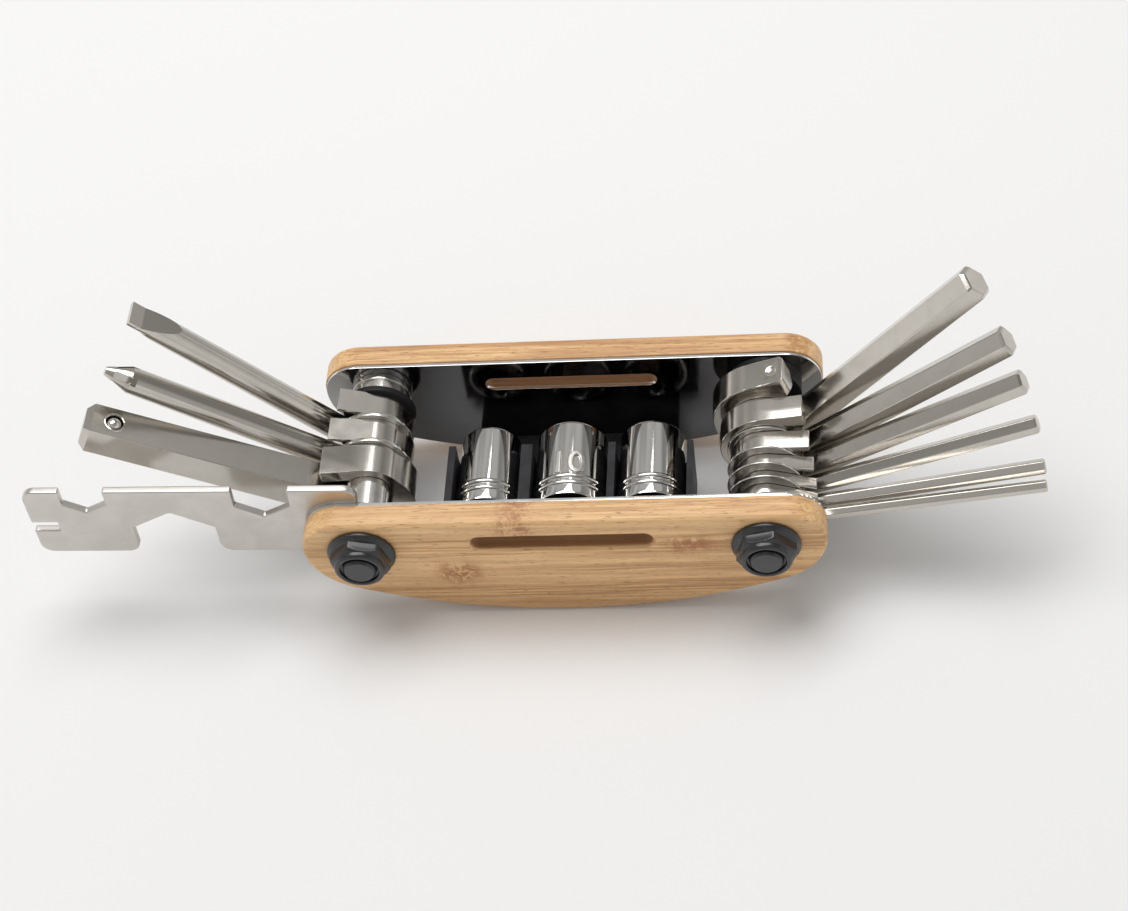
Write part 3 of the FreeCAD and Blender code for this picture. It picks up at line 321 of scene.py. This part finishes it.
def black_finish(name, colour, roughness, grain, depth, coat=0.0, wear=(0.07, 0.07, 0.075)):
    """Black coating or moulded plastic: fine grain, patchy sheen, greyer worn edges."""
    material, tree, shader = new_finish(name)
    place = object_place(tree)
    pebble = cloud(tree, place, grain, 3.0, 0.55)
    patches = cloud(tree, place, 260.0, 3.0, 0.6)
    dust = cloud(tree, place, 2300.0, 2.0, 0.5)
    worn = calc(tree, "MULTIPLY", edge_light(tree, 0.51, 0.58), spread(tree, patches, 0.35, 0.65, 0.25, 1.0))
    tone = mix(tree, spread(tree, patches, 0.35, 0.7, 0.0, 0.5), tuple(colour) + (1,),
               tuple(part * 1.7 for part in colour) + (1,))
    tone = mix(tree, spread(tree, dust, 0.66, 0.78, 0.0, 0.35), tone, (0.09, 0.09, 0.09, 1))
    tone = mix(tree, calc(tree, "MULTIPLY", worn, 0.6), tone, tuple(wear) + (1,))
    tree.links.new(tone, shader.inputs["Base Color"])
    rough = calc(tree, "MULTIPLY_ADD", patches, 0.16, roughness)
    tree.links.new(rough, shader.inputs["Roughness"])
    tree.links.new(relief(tree, pebble, depth, 0.5), shader.inputs["Normal"])
    shader.inputs["Specular IOR Level"].default_value = 0.5 if coat else 0.22
    shader.inputs["Coat Weight"].default_value = coat
    shader.inputs["Coat Roughness"].default_value = 0.12
    return material


PIVOT_X = joint_of["key_6"]["pos_m"][0]
PIVOT_Z = joint_of["key_6"]["pos_m"][2]
FINISHES = {
    "bamboo_front": bamboo_finish("bamboo_front", FRONT_NODES),
    "bamboo_rear": bamboo_finish("bamboo_rear", REAR_NODES),
    # The liners' near-black base colour is painted dark reflection of the shaded parts between the plates;
    # their bright rim colour is painted highlight.
    "liner_steel": steel_finish("liner_steel", (0.17, 0.17, 0.172), 0.07, mottle=0.03, scratch=0.08,
                                wear=0.2, patch=140.0, painted_rim_light=(0.86, 0.85, 0.83)),
    "tool_steel": steel_finish("tool_steel", (0.58, 0.55, 0.505), 0.16, mottle=0.03, scratch=0.15, wear=0.6),
    "wrench_steel": steel_finish("wrench_steel", (0.64, 0.61, 0.575), 0.34, mottle=0.05, scratch=0.30,
                                 wear=0.6, patch=170.0),
    "socket_chrome": steel_finish("socket_chrome", (0.72, 0.705, 0.68), 0.05, mottle=0.02, scratch=0.06,
                                  wear=0.5, patch=200.0),
    "spring_steel": steel_finish("spring_steel", (0.60, 0.60, 0.60), 0.22, mottle=0.05, scratch=0.10,
                                 wear=0.3),
    "washer_steel": turned_finish("washer_steel", (0.72, 0.70, 0.67), 0.12, PIVOT_X, PIVOT_Z),
    "black_steel": black_finish("black_steel", (0.012, 0.012, 0.014), 0.22, 2600.0, 0.00001, coat=0.3),
    "black_plastic": black_finish("black_plastic", (0.010, 0.010, 0.011), 0.42, 1500.0, 0.00002,
                                  wear=(0.04, 0.04, 0.045)),
}


# ---------------------------------------------------------------- mesh helpers

def soften(work, width, over=30.0, segments=3):
    """Rounds every edge sharper than the given angle."""
    bmesh.ops.remove_doubles(work, verts=work.verts, dist=MERGE)
    limit = math.radians(over)
    sharp = [edge for edge in work.edges if len(edge.link_faces) == 2 and edge.calc_face_angle(0.0) > limit]
    bmesh.ops.bevel(work, geom=sharp, offset=width, offset_type="OFFSET", segments=segments,
                    profile=0.5, affect="EDGES", clamp_overlap=True, material=-1)


def finish_piece(name, work, node, finish, place=None, stands_for=True, smooth_under=32.0):
    """Makes the worked shape a piece in metres that rides with a CAD node and may stand for it."""
    bmesh.ops.remove_doubles(work, verts=work.verts, dist=MERGE)
    bmesh.ops.recalc_face_normals(work, faces=work.faces)
    to_metres = Matrix.Scale(MM, 4)
    bmesh.ops.transform(work, matrix=to_metres @ (place or Matrix.Identity(4)), verts=work.verts)
    mesh = bpy.data.meshes.new(name)
    work.to_mesh(mesh)
    work.free()
    mesh.polygons.foreach_set("use_smooth", [True] * len(mesh.polygons))
    mesh.set_sharp_from_angle(angle=math.radians(smooth_under))
    mesh.materials.append(FINISHES[finish])
    piece = bpy.data.objects.new(name, mesh)
    SCENE.collection.objects.link(piece)
    evened = piece.modifiers.new("even_faces", "WEIGHTED_NORMAL")
    evened.keep_sharp = True
    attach(piece, body_of(node))
    if stands_for:
        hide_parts(node)


def cad_shape(node):
    """A merged copy of a CAD node in millimetres, with its flat faces whole."""
    work = bmesh.new()
    work.from_mesh(frame["nodes"][node].data)
    bmesh.ops.scale(work, vec=(1 / MM,) * 3, verts=work.verts)
    bmesh.ops.remove_doubles(work, verts=work.verts, dist=MERGE)
    bmesh.ops.dissolve_limit(work, angle_limit=math.radians(0.1), verts=work.verts, edges=work.edges)
    return work


def keep_cad(node, finish):
    """Gives a CAD node that has the right shape its finish."""
    mesh_object = frame["nodes"][node]
    mesh_object.data.materials.clear()
    mesh_object.data.materials.append(FINISHES[finish])


def round_of(radius):
    """Radius at each angle of a circle."""
    return lambda angle: radius


def flats_of(across, sides, face_at=0.0):
    """Radius at each angle of a regular polygon with a flat facing the angle face_at."""
    step = 2 * math.pi / sides

    def radius(angle):
        off = (angle - face_at + step / 2) % step - step / 2
        return across / 2 / math.cos(off)

    return radius


def smaller_of(first, second):
    return lambda angle: min(first(angle), second(angle))


def set_ring(points, outline, y):
    for point in points:
        angle = math.atan2(point.co.z, point.co.x)
        radius = outline(angle)
        point.co = (radius * math.cos(angle), y, radius * math.sin(angle))


def rim_drawn(work, rim):
    """Draws a rim of edges on as a new rim, and gives back its points and edges."""
    drawn = bmesh.ops.extrude_edge_only(work, edges=rim)["geom"]
    points = [item for item in drawn if isinstance(item, bmesh.types.BMVert)]
    fresh = set(points)
    edges = [item for item in drawn if isinstance(item, bmesh.types.BMEdge)
             and item.verts[0] in fresh and item.verts[1] in fresh]
    return points, edges


def cut_across(work, point, direction):
    """Cuts the faces along a plane and takes nothing away."""
    bmesh.ops.bisect_plane(work, geom=work.verts[:] + work.edges[:] + work.faces[:], plane_co=point,
                           plane_no=direction, dist=CUT)


def turned(stations, closed):
    """A piece drawn ring by ring round the Y axis; a closed one joins its last ring to its first."""
    work = bmesh.new()
    upright = Matrix.Rotation(math.radians(90), 4, "X")
    start = bmesh.ops.create_circle(work, cap_ends=False, radius=1.0, segments=RING_POINTS, matrix=upright)
    outline, y = stations[0]
    set_ring(start["verts"], outline, y)
    rim = list(work.edges)
    if not closed:
        bmesh.ops.edgeloop_fill(work, edges=rim)
    path = stations[1:] + (stations[:1] if closed else [])
    for outline, y in path:
        points, rim = rim_drawn(work, rim)
        set_ring(points, outline, y)
    if not closed:
        bmesh.ops.edgeloop_fill(work, edges=rim)
    bmesh.ops.remove_doubles(work, verts=work.verts, dist=MERGE)
    return work


def plain_ring(inner, outer, start, end):
    return turned([(round_of(inner), start), (round_of(outer), start), (round_of(outer), end),
                   (round_of(inner), end)], closed=True)


def pivot_place(side):
    return Matrix.Translation((side * PIVOT_X / MM, 0, PIVOT_Z / MM))


# ---------------------------------------------------------------- handle

def handle_plates():
    for node, finish in (("front_scale", "bamboo_front"), ("rear_scale", "bamboo_rear")):
        work = cad_shape(node)
        soften(work, 0.22, over=50.0, segments=2)
        finish_piece(f"{node}_bamboo", work, node, finish)
    for node in ("front_liner", "rear_liner"):
        work = cad_shape(node)
        soften(work, 0.1, over=50.0, segments=2)
        finish_piece(f"{node}_plate", work, node, "liner_steel")


def sleeve_radius():
    low, high = box_mm("left_sleeve")
    return (high.x - low.x) / 2


def pivot_rings():
    """Washers, spacers and the spool on both pivots."""
    inner = sleeve_radius()
    for node, finish in (("left_front_spacer", "washer_steel"), ("right_front_spacer", "washer_steel"),
                         ("right_middle_spacer", "washer_steel"), ("right_rear_spacer", "black_plastic"),
                         ("left_rear_washer", "black_plastic")):
        low, high = box_mm(node)
        work = plain_ring(inner, (high.x - low.x) / 2, low.y, high.y)
        soften(work, 0.16)
        side = -1 if node.startswith("left") else 1
        finish_piece(f"{node}_ring", work, node, finish, pivot_place(side))
    for node in ("left_washers", "right_washers"):
        washer_group(node, inner)
    spool(inner)


def washer_group(node, inner):
    """The thin washers of one pivot, found from the gaps between that pivot's tools."""
    low, high = box_mm(node)
    tools = {"left_washers": ["extension_bar", "phillips_driver", "slotted_driver"],
             "right_washers": ["hex_key_2", "hex_key_2_5", "hex_key_3", "hex_key_4", "hex_key_5"]}[node]
    edges = sorted(box_mm(tool)[0].y for tool in tools)
    tops = sorted(box_mm(tool)[1].y for tool in tools)
    outer = (high.x - low.x) / 2
    clear = low.y - tops[0]
    group = bmesh.new()
    for start, end in zip(tops[:-1], edges[1:]):
        work = plain_ring(inner, outer, start + clear, end - clear)
        soften(work, 0.13)
        loose = bpy.data.meshes.new("washer")
        work.to_mesh(loose)
        work.free()
        group.from_mesh(loose)
        bpy.data.meshes.remove(loose)
    side = -1 if node.startswith("left") else 1
    finish_piece(f"{node}_thin", group, node, "washer_steel", pivot_place(side))


def spool(inner):
    """The left spool: a wide front rim, a neck and a narrow rear rim."""
    front_rim, rear_rim = 2.4, 1.2
    low, high = box_mm("left_spool")
    flange = (high.x - low.x) / 2
    front = low.y + front_rim
    rear = high.y - rear_rim
    neck = flange * 0.85
    work = turned([(round_of(inner), low.y), (round_of(flange), low.y), (round_of(flange), front),
                   (round_of(neck), front + 0.1), (round_of(neck), rear - 0.1), (round_of(flange), rear),
                   (round_of(flange), high.y), (round_of(inner), high.y)], closed=True)
    soften(work, 0.18)
    finish_piece("left_spool_turned", work, "left_spool", "washer_steel", pivot_place(-1))


def nut(side_name, side):
    """Flanged lock nut: sloped flange, chamfered hexagon, round collar with a groove round the bolt."""
    bore, flange, corner, collar = 3.0, 6.1, 5.56, 4.55
    node = f"{side_name}_nut"
    low, high = box_mm(node)
    seat = high.y
    top = seat - low.y
    hexagon = flats_of(9.6, 6, math.radians(30 + 14 * side))
    steps = [(round_of(bore), 0.0), (round_of(flange - 0.15), 0.0), (round_of(flange), 0.2),
             (round_of(flange), 0.75), (round_of(flange - 0.25), 0.98), (round_of(5.62), 1.25)]
    steps += [(smaller_of(hexagon, round_of(corner)), 1.42), (smaller_of(hexagon, round_of(corner)), 2.62)]
    for radius, height in ((5.42, 2.78), (5.26, 2.92), (5.08, 3.05), (4.88, 3.17)):
        steps.append((smaller_of(hexagon, round_of(radius)), height))
    steps += [(round_of(collar), 3.3), (round_of(collar), top - 0.55), (round_of(collar - 0.16), top - 0.2),
              (round_of(collar - 0.5), top), (round_of(3.72), top), (round_of(3.5), top - 0.15),
              (round_of(3.45), top - 0.7), (round_of(bore), top - 0.75)]
    work = turned([(outline, seat - height) for outline, height in steps], closed=True)
    soften(work, 0.09, over=28.0, segments=2)
    finish_piece(f"{node}_black", work, node, "black_steel", pivot_place(side))


def bolt(side_name, side):
    """Pivot bolt: chamfered end at the front, domed head with a hexagon socket at the rear."""
    shank, head = 2.97, 4.9
    node = f"{side_name}_bolt"
    low, high = box_mm(node)
    seat = box_mm("rear_scale")[1].y
    crown = high.y
    key = flats_of(4.0, 6)
    work = turned([(round_of(2.45), low.y), (round_of(2.62), low.y + 0.06), (round_of(shank), low.y + 0.5),
                   (round_of(shank), seat), (round_of(head - 0.1), seat), (round_of(head), seat + 0.15),
                   (round_of(head), crown - 0.75), (round_of(4.72), crown - 0.4),
                   (round_of(4.35), crown - 0.14), (round_of(3.8), crown - 0.02), (round_of(3.4), crown),
                   (round_of(2.5), crown), (key, crown - 0.2), (key, crown - 1.95)], closed=False)
    soften(work, 0.07, over=35.0, segments=2)
    finish_piece(f"{node}_black", work, node, "black_steel", pivot_place(side))


# ---------------------------------------------------------------- folding tools

# How much of each bar's thickness the forging leaves in its eye and leg.
LEG_SHARES = {"2": 0.6, "2_5": 0.45, "3": 0.45, "4": 0.5, "5": 0.8, "6": 0.87}
BAR_SHARE = 0.4
EYE_TURN = 210.0
LEG_TILT = math.radians(EYE_TURN - 180.0)
LEG_WAY = Vector((math.cos(LEG_TILT), 0, -math.sin(LEG_TILT)))
LEG_OUT = Vector((math.sin(LEG_TILT), 0, math.cos(LEG_TILT)))


def tool_layout(node, mount_name):
    """A bar tool's reach from its pivot, its depth below it, and its place: pivot, lane, side and tilt."""
    mount = mount_of[mount_name]
    pivot = Vector(joint_of[body_of(node)]["pos_m"])
    along = Vector(mount["axis"]).normalized()
    out = Vector(mount["pos_m"]) - pivot
    out.y = 0
    reach = out.dot(along)
    bend = (out - along * reach).length
    side = 1 if along.x > 0 else -1
    tilt = math.atan2(along.z, abs(along.x))
    low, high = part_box(node)
    lane = (low.y + high.y) / 2
    place = (Matrix.Translation((pivot.x / MM, lane / MM, pivot.z / MM))
             @ Matrix.Rotation(-side * tilt, 4, "Y")
             @ Matrix.Rotation(0 if side > 0 else math.pi, 4, "Z"))
    return reach / MM, bend / MM, place


def cap_of(made):
    return next(item for item in made if isinstance(item, bmesh.types.BMFace))


def drawn_on(work, cap, direction, length, taper=1.0):
    """Draws an end face on by a length and narrows it, and gives back the new end face."""
    made = bmesh.ops.extrude_face_region(work, geom=[cap])["geom"]
    points = [item for item in made if isinstance(item, bmesh.types.BMVert)]
    bmesh.ops.translate(work, vec=direction * length, verts=points)
    end = cap_of(made)
    if taper != 1.0:
        centre = end.calc_center_median()
        bmesh.ops.scale(work, vec=(taper,) * 3, space=Matrix.Translation(-centre), verts=points)
    return end


def forge(work, inner, height, share):
    """Presses the far side of a hooked eye and its leg thinner from the outside."""
    first_turn, last_turn = 60.0, 150.0
    thin = inner + height * share
    for point in work.verts:
        x, z = point.co.x, point.co.z
        turn = math.degrees(math.atan2(-x, -z)) % 360.0
        if turn > EYE_TURN - 0.5 and z > -0.6 * inner:
            done = 1.0
            level = point.co.dot(LEG_OUT)
            outward = LEG_OUT
        elif first_turn < turn <= EYE_TURN:
            part = min(1.0, (turn - first_turn) / (last_turn - first_turn))
            done = part * part * (3 - 2 * part)
            level = math.hypot(x, z)
            outward = Vector((x, 0, z)) / level
        else:
            continue
        if level > inner + height * 0.55:
            point.co += outward * (thin - level) * done


def bent_bar(radius, corners, turn, bend, reach, leg, tip_cut, leg_cut):
    """A bar along +X below the pivot, bent back over it into a hooked eye with a free leg."""
    work = bmesh.new()
    section = (Matrix.Translation((0, 0, -bend)) @ Matrix.Rotation(math.radians(90), 4, "Y")
               @ Matrix.Rotation(math.radians(turn), 4, "Z"))
    bmesh.ops.create_circle(work, cap_ends=True, radius=radius, segments=corners, matrix=section)
    tip = drawn_on(work, work.faces[:][0], X_AXIS, reach - tip_cut)
    drawn_on(work, tip, X_AXIS, tip_cut, 1 - tip_cut / radius)
    back = min(work.faces, key=lambda face: face.calc_center_median().x + 10 * abs(face.normal.z))
    bend_round = bmesh.ops.spin(work, geom=[back] + back.edges[:] + back.verts[:], cent=(0, 0, 0),
                                axis=Y_AXIS, angle=math.radians(EYE_TURN), steps=42, use_merge=False)
    end = drawn_on(work, cap_of(bend_round["geom_last"]), LEG_WAY, leg - leg_cut)
    drawn_on(work, end, LEG_WAY, leg_cut, 1 - leg_cut / radius)
    return work


def hexagon_key(name):
    """A hexagon key with its flats to the sides; the biggest has a shorter leg with a dimple in it."""
    node = f"hex_key_{name}"
    reach, bend, place = tool_layout(node, f"hex_tip_{name}")
    low, high = box_mm(node)
    flats = high.y - low.y
    radius = flats / math.sqrt(3)
    biggest = name == "6"
    leg, leg_cut = (7.0, 0.7) if biggest else (8.0, 0.18)
    inner = bend - radius
    work = bent_bar(radius, 6, 30.0, bend, reach, leg, 0.11 * flats, leg_cut)
    forge(work, inner, 2 * radius, LEG_SHARES[name])
    if biggest:
        dimple(work, leg - 2.2, inner + 2 * radius * LEG_SHARES[name], 1.0, 0.35)
    soften(work, 0.07 * flats, over=24.0, segments=3)
    finish_piece(f"{node}_bar", work, node, "tool_steel", place)


def dimple(work, along, level, radius, depth):
    """A small round mark pressed into the flat outer face of the leg."""
    before, after, inside = 1.7, 1.5, 1.4
    centre = LEG_OUT * level + LEG_WAY * along

    def near(spot, slack):
        off = spot - centre
        return abs(off.dot(LEG_OUT)) < slack and abs(off.dot(LEG_WAY)) < inside

    for step in (-before, after):
        cut_across(work, centre + LEG_WAY * step, LEG_WAY)
    loose = [point for point in work.verts if near(point.co, 1e-3) and abs(point.co.y) < 2.9]
    bmesh.ops.dissolve_limit(work, angle_limit=math.radians(0.5), verts=loose, edges=[])
    patch = [face for face in work.faces
             if face.normal.dot(LEG_OUT) > 0.99 and near(face.calc_center_median(), 1e-2)]
    edges = dict.fromkeys(edge for face in patch for edge in face.edges)
    border = [edge for edge in edges if sum(face in patch for face in edge.link_faces) == 1]
    crossing = [edge for edge in edges if edge not in border]
    bmesh.ops.delete(work, geom=patch, context="FACES_ONLY")
    bmesh.ops.delete(work, geom=crossing, context="EDGES")
    flat = Matrix.Translation(centre) @ Matrix.Rotation(LEG_TILT, 4, "Y")
    outer = bmesh.ops.create_circle(work, cap_ends=False, radius=radius, segments=32, matrix=flat)
    rim = list(dict.fromkeys(edge for point in outer["verts"] for edge in point.link_edges))
    bmesh.ops.triangle_fill(work, use_beauty=True, edges=border + rim, normal=LEG_OUT)
    for share, down in ((0.8, 0.45), (0.5, 0.85), (0.2, 1.0)):
        points, rim = rim_drawn(work, rim)
        for point in points:
            flatly = point.co - centre
            flatly -= LEG_OUT * flatly.dot(LEG_OUT)
            point.co = centre + flatly.normalized() * radius * share - LEG_OUT * depth * down
    bmesh.ops.edgeloop_fill(work, edges=rim)


def square_bar():
    """The quarter inch extension bar, with the pocket that its ball sits in."""
    node = "extension_bar"
    reach, bend, place = tool_layout(node, "square_drive")
    low, high = box_mm(node)
    side = high.y - low.y
    work = bent_bar(side / math.sqrt(2), 4, 45.0, bend, reach, 8.0, 1.25, 0.12)
    forge(work, bend - side / 2, side, BAR_SHARE)
    soften(work, 0.42, over=24.0, segments=3)
    ball_low, ball_high = box_mm("detent_ball")
    ball_centre = place.inverted() @ ((ball_low + ball_high) / 2)
    face = side / 2 - bend
    ball_pocket(work, ball_centre.x, face, 1.62)
    finish_piece("extension_bar_square", work, node, "tool_steel", place)
    lip = ((1.55, -0.1), (1.6, 0.1), (1.72, 0.17), (1.9, 0.13), (2.02, 0.0), (2.0, -0.1))
    seat = turned([(round_of(radius), y) for radius, y in lip], closed=True)
    to_face = Matrix.Translation((ball_centre.x, 0, face)) @ Matrix.Rotation(math.radians(90), 4, "X")
    finish_piece("ball_seat", seat, node, "tool_steel", place @ to_face, stands_for=False)


def ball_pocket(work, along, level, radius):
    """Opens a round blind pocket in the bar's inner face."""
    margin, deep = 0.9, 4.6
    centre = Vector((along, 0, level))
    for x in (along - radius - margin, along + radius + margin):
        cut_across(work, (x, 0, 0), X_AXIS)
    patch = min(work.faces, key=lambda face: (face.calc_center_median() - centre).length)
    border = patch.edges[:]
    bmesh.ops.delete(work, geom=[patch], context="FACES_ONLY")
    lip = bmesh.ops.create_circle(work, cap_ends=False, radius=radius, segments=48,
                                  matrix=Matrix.Translation(centre))
    rim = list(dict.fromkeys(edge for point in lip["verts"] for edge in point.link_edges))
    bmesh.ops.triangle_fill(work, use_beauty=True, edges=border + rim, normal=Z_AXIS)
    points, floor_rim = rim_drawn(work, rim)
    bmesh.ops.translate(work, vec=(0, 0, -deep), verts=points)
    bmesh.ops.edgeloop_fill(work, edges=floor_rim)


def stamped_wrench():
    work = cad_shape("flat_wrench")
    soften(work, 0.32, over=40.0, segments=3)
    finish_piece("flat_wrench_stamped", work, "flat_wrench", "wrench_steel")


# ---------------------------------------------------------------- sockets and holder

def drop_socket(name, across):
    """A socket: broached square at the front, two rolled ridges, hexagon mouth at the rear."""
    ridge_height = 0.3
    node = f"socket_{name}"
    low, high = box_mm(node)
    outer = (high.x - low.x) / 2 - ridge_height
    front, rear = low.y, high.y
    square = flats_of(6.4, 4)
    hexagon = flats_of(across, 6)
    mouth = across / math.sqrt(3) + 0.12
    stations = [(square, front + 7.0), (square, front + 0.4), (round_of(4.62), front),
                (round_of(outer - 0.55), front), (round_of(outer - 0.12), front + 0.22),
                (round_of(outer), front + 0.6)]
    for start in (2.2, 3.7):
        for rise, step in ((0.0, 0.0), (0.2, 0.12), (0.3, 0.38), (0.3, 0.62), (0.2, 0.88), (0.0, 1.0)):
            stations.append((round_of(outer + rise), front + start + step))
    stations += [(round_of(outer), rear - 0.7), (round_of(outer - 0.1), rear - 0.3),
                 (round_of(outer - 0.3), rear - 0.06), (round_of(max(mouth + 0.15, outer - 0.6)), rear),
                 (round_of(mouth), rear), (hexagon, rear - 0.6), (hexagon, rear - 9.0)]
    work = turned(stations, closed=False)
    place = Matrix.Translation(((low.x + high.x) / 2, 0, (low.z + high.z) / 2))
    finish_piece(f"{node}_chrome", work, node, "socket_chrome", place, smooth_under=40.0)
    size_mark(name, node, outer, front + 5.0, place, 0.0 if name == "10" else math.pi)


def size_mark(text, node, radius, foot, place, round_by):
    """The socket's size, raised on its barrel and bent round it, turned round by an angle from the top."""
    curve = bpy.data.curves.new(f"mark_{text}", "FONT")
    curve.body = text
    curve.size = 6.7
    curve.align_x = "CENTER"
    curve.offset = -0.02
    curve.extrude = 0.18
    curve.bevel_depth = 0.20
    curve.bevel_resolution = 2
    curve.resolution_u = 6
    writing = bpy.data.objects.new(f"mark_{text}", curve)
    SCENE.collection.objects.link(writing)
    drawn = bpy.data.meshes.new_from_object(writing.evaluated_get(bpy.context.evaluated_depsgraph_get()))
    bpy.data.objects.remove(writing)
    work = bmesh.new()
    work.from_mesh(drawn)
    bpy.data.meshes.remove(drawn)
    bmesh.ops.remove_doubles(work, verts=work.verts, dist=MERGE)
    half_cuts, spacing, lift = 8, 0.5, 0.02
    for step in range(-half_cuts, half_cuts + 1):
        cut_across(work, (step * spacing, 0, 0), X_AXIS)
    for point in work.verts:
        turn = point.co.x / radius + round_by
        stand = radius + point.co.z + lift
        point.co = (stand * math.sin(turn), foot + point.co.y, stand * math.cos(turn))
    finish_piece(f"size_mark_{text}", work, node, "wrench_steel", place, stands_for=False)


def moulded_holder():
    work = cad_shape("socket_holder")
    soften(work, 0.25, over=50.0, segments=2)
    finish_piece("socket_holder_moulded", work, "socket_holder", "black_plastic")


# ---------------------------------------------------------------- stage, light and camera

def floor():
    half_size, gap = 3.0, 0.0001
    work = bmesh.new()
    level = Matrix.Translation((0, 0, cad_low.z - gap))
    bmesh.ops.create_grid(work, x_segments=1, y_segments=1, size=half_size, matrix=level)
    mesh = bpy.data.meshes.new("floor")
    work.to_mesh(mesh)
    work.free()
    table = bpy.data.objects.new("floor", mesh)
    SCENE.collection.objects.link(table)
    material, _, shader = new_finish("pale_floor")
    shader.inputs["Base Color"].default_value = (0.90, 0.90, 0.90, 1)
    shader.inputs["Roughness"].default_value = 0.8
    mesh.materials.append(material)


def sky():
    """A dim room with a pale band round the horizon and a few paler panels."""
    world = bpy.data.worlds.new("studio")
    world.use_nodes = True
    tree = world.node_tree
    sheet = tree.nodes["Background"]
    way = add(tree, "ShaderNodeTexCoord").outputs["Generated"]
    parts = add(tree, "ShaderNodeSeparateXYZ", Vector=way)
    level = spread(tree, parts.outputs["Z"], 0.0, 0.62, 0.85, 0.42)
    panels = add(tree, "ShaderNodeTexNoise", Vector=way, Scale=2.3, Detail=1.0).outputs["Fac"]
    level = calc(tree, "MULTIPLY", level, spread(tree, panels, 0.42, 0.60, 0.60, 1.2))
    tone = mix(tree, level, (0, 0, 0, 1), (1.0, 0.99, 0.97, 1))
    tree.links.new(tone, sheet.inputs["Color"])
    sheet.inputs["Strength"].default_value = 1.0
    SCENE.world = world


def softbox(name, spot, size, power):
    """A rectangular lamp that faces the origin."""
    lamp = bpy.data.lights.new(name, "AREA")
    lamp.shape = "RECTANGLE"
    lamp.size, lamp.size_y = size
    lamp.energy = power
    light = bpy.data.objects.new(name, lamp)
    light.location = spot
    light.rotation_mode = "QUATERNION"
    light.rotation_quaternion = (-Vector(spot)).to_track_quat("-Z", "Y")
    SCENE.collection.objects.link(light)


def camera():
    """Looks down on the open tool from the front, a little from the right and rolled."""
    focal_length = 72.1323
    distance = 411.34 * MM
    azimuth, elevation, roll = 0.17549, 0.88640, -0.16426
    target = Vector((-0.7578, 0, -2.1007)) * MM
    back = Vector((math.sin(azimuth) * math.cos(elevation), -math.cos(azimuth) * math.cos(elevation),
                   math.sin(elevation)))
    right = (-back).cross(Z_AXIS).normalized()
    up = right.cross(-back)
    side = math.cos(roll) * right + math.sin(roll) * up
    top = -math.sin(roll) * right + math.cos(roll) * up
    lens = bpy.data.cameras.new("camera")
    lens.sensor_fit = "HORIZONTAL"
    lens.sensor_width = 36.0
    lens.lens = focal_length
    lens.clip_start = 0.01
    eye = bpy.data.objects.new("camera", lens)
    turn = Matrix((side, top, back)).transposed()
    eye.rotation_mode = "QUATERNION"
    eye.rotation_quaternion = turn.to_quaternion()
    eye.location = target + back * distance
    SCENE.collection.objects.link(eye)
    SCENE.camera = eye


# ---------------------------------------------------------------- build

handle_plates()
pivot_rings()
for side_name, side in (("left", -1), ("right", 1)):
    nut(side_name, side)
    bolt(side_name, side)
    keep_cad(f"{side_name}_sleeve", "washer_steel")
for key_name in ("2", "2_5", "3", "4", "5", "6"):
    hexagon_key(key_name)
square_bar()
stamped_wrench()
for node in ("slotted_driver", "phillips_driver"):
    keep_cad(node, "tool_steel")
keep_cad("detent_ball", "socket_chrome")
keep_cad("detent_spring", "spring_steel")
for socket_name, across in (("8", 8.0), ("10", 10.0), ("9", 9.0)):
    drop_socket(socket_name, across)
moulded_holder()

floor()
sky()
softbox("key_softbox", (-0.15, 0.26, 1.0), (0.95, 0.62), 7.8)
camera()
SCENE.view_settings.view_transform = "Standard"
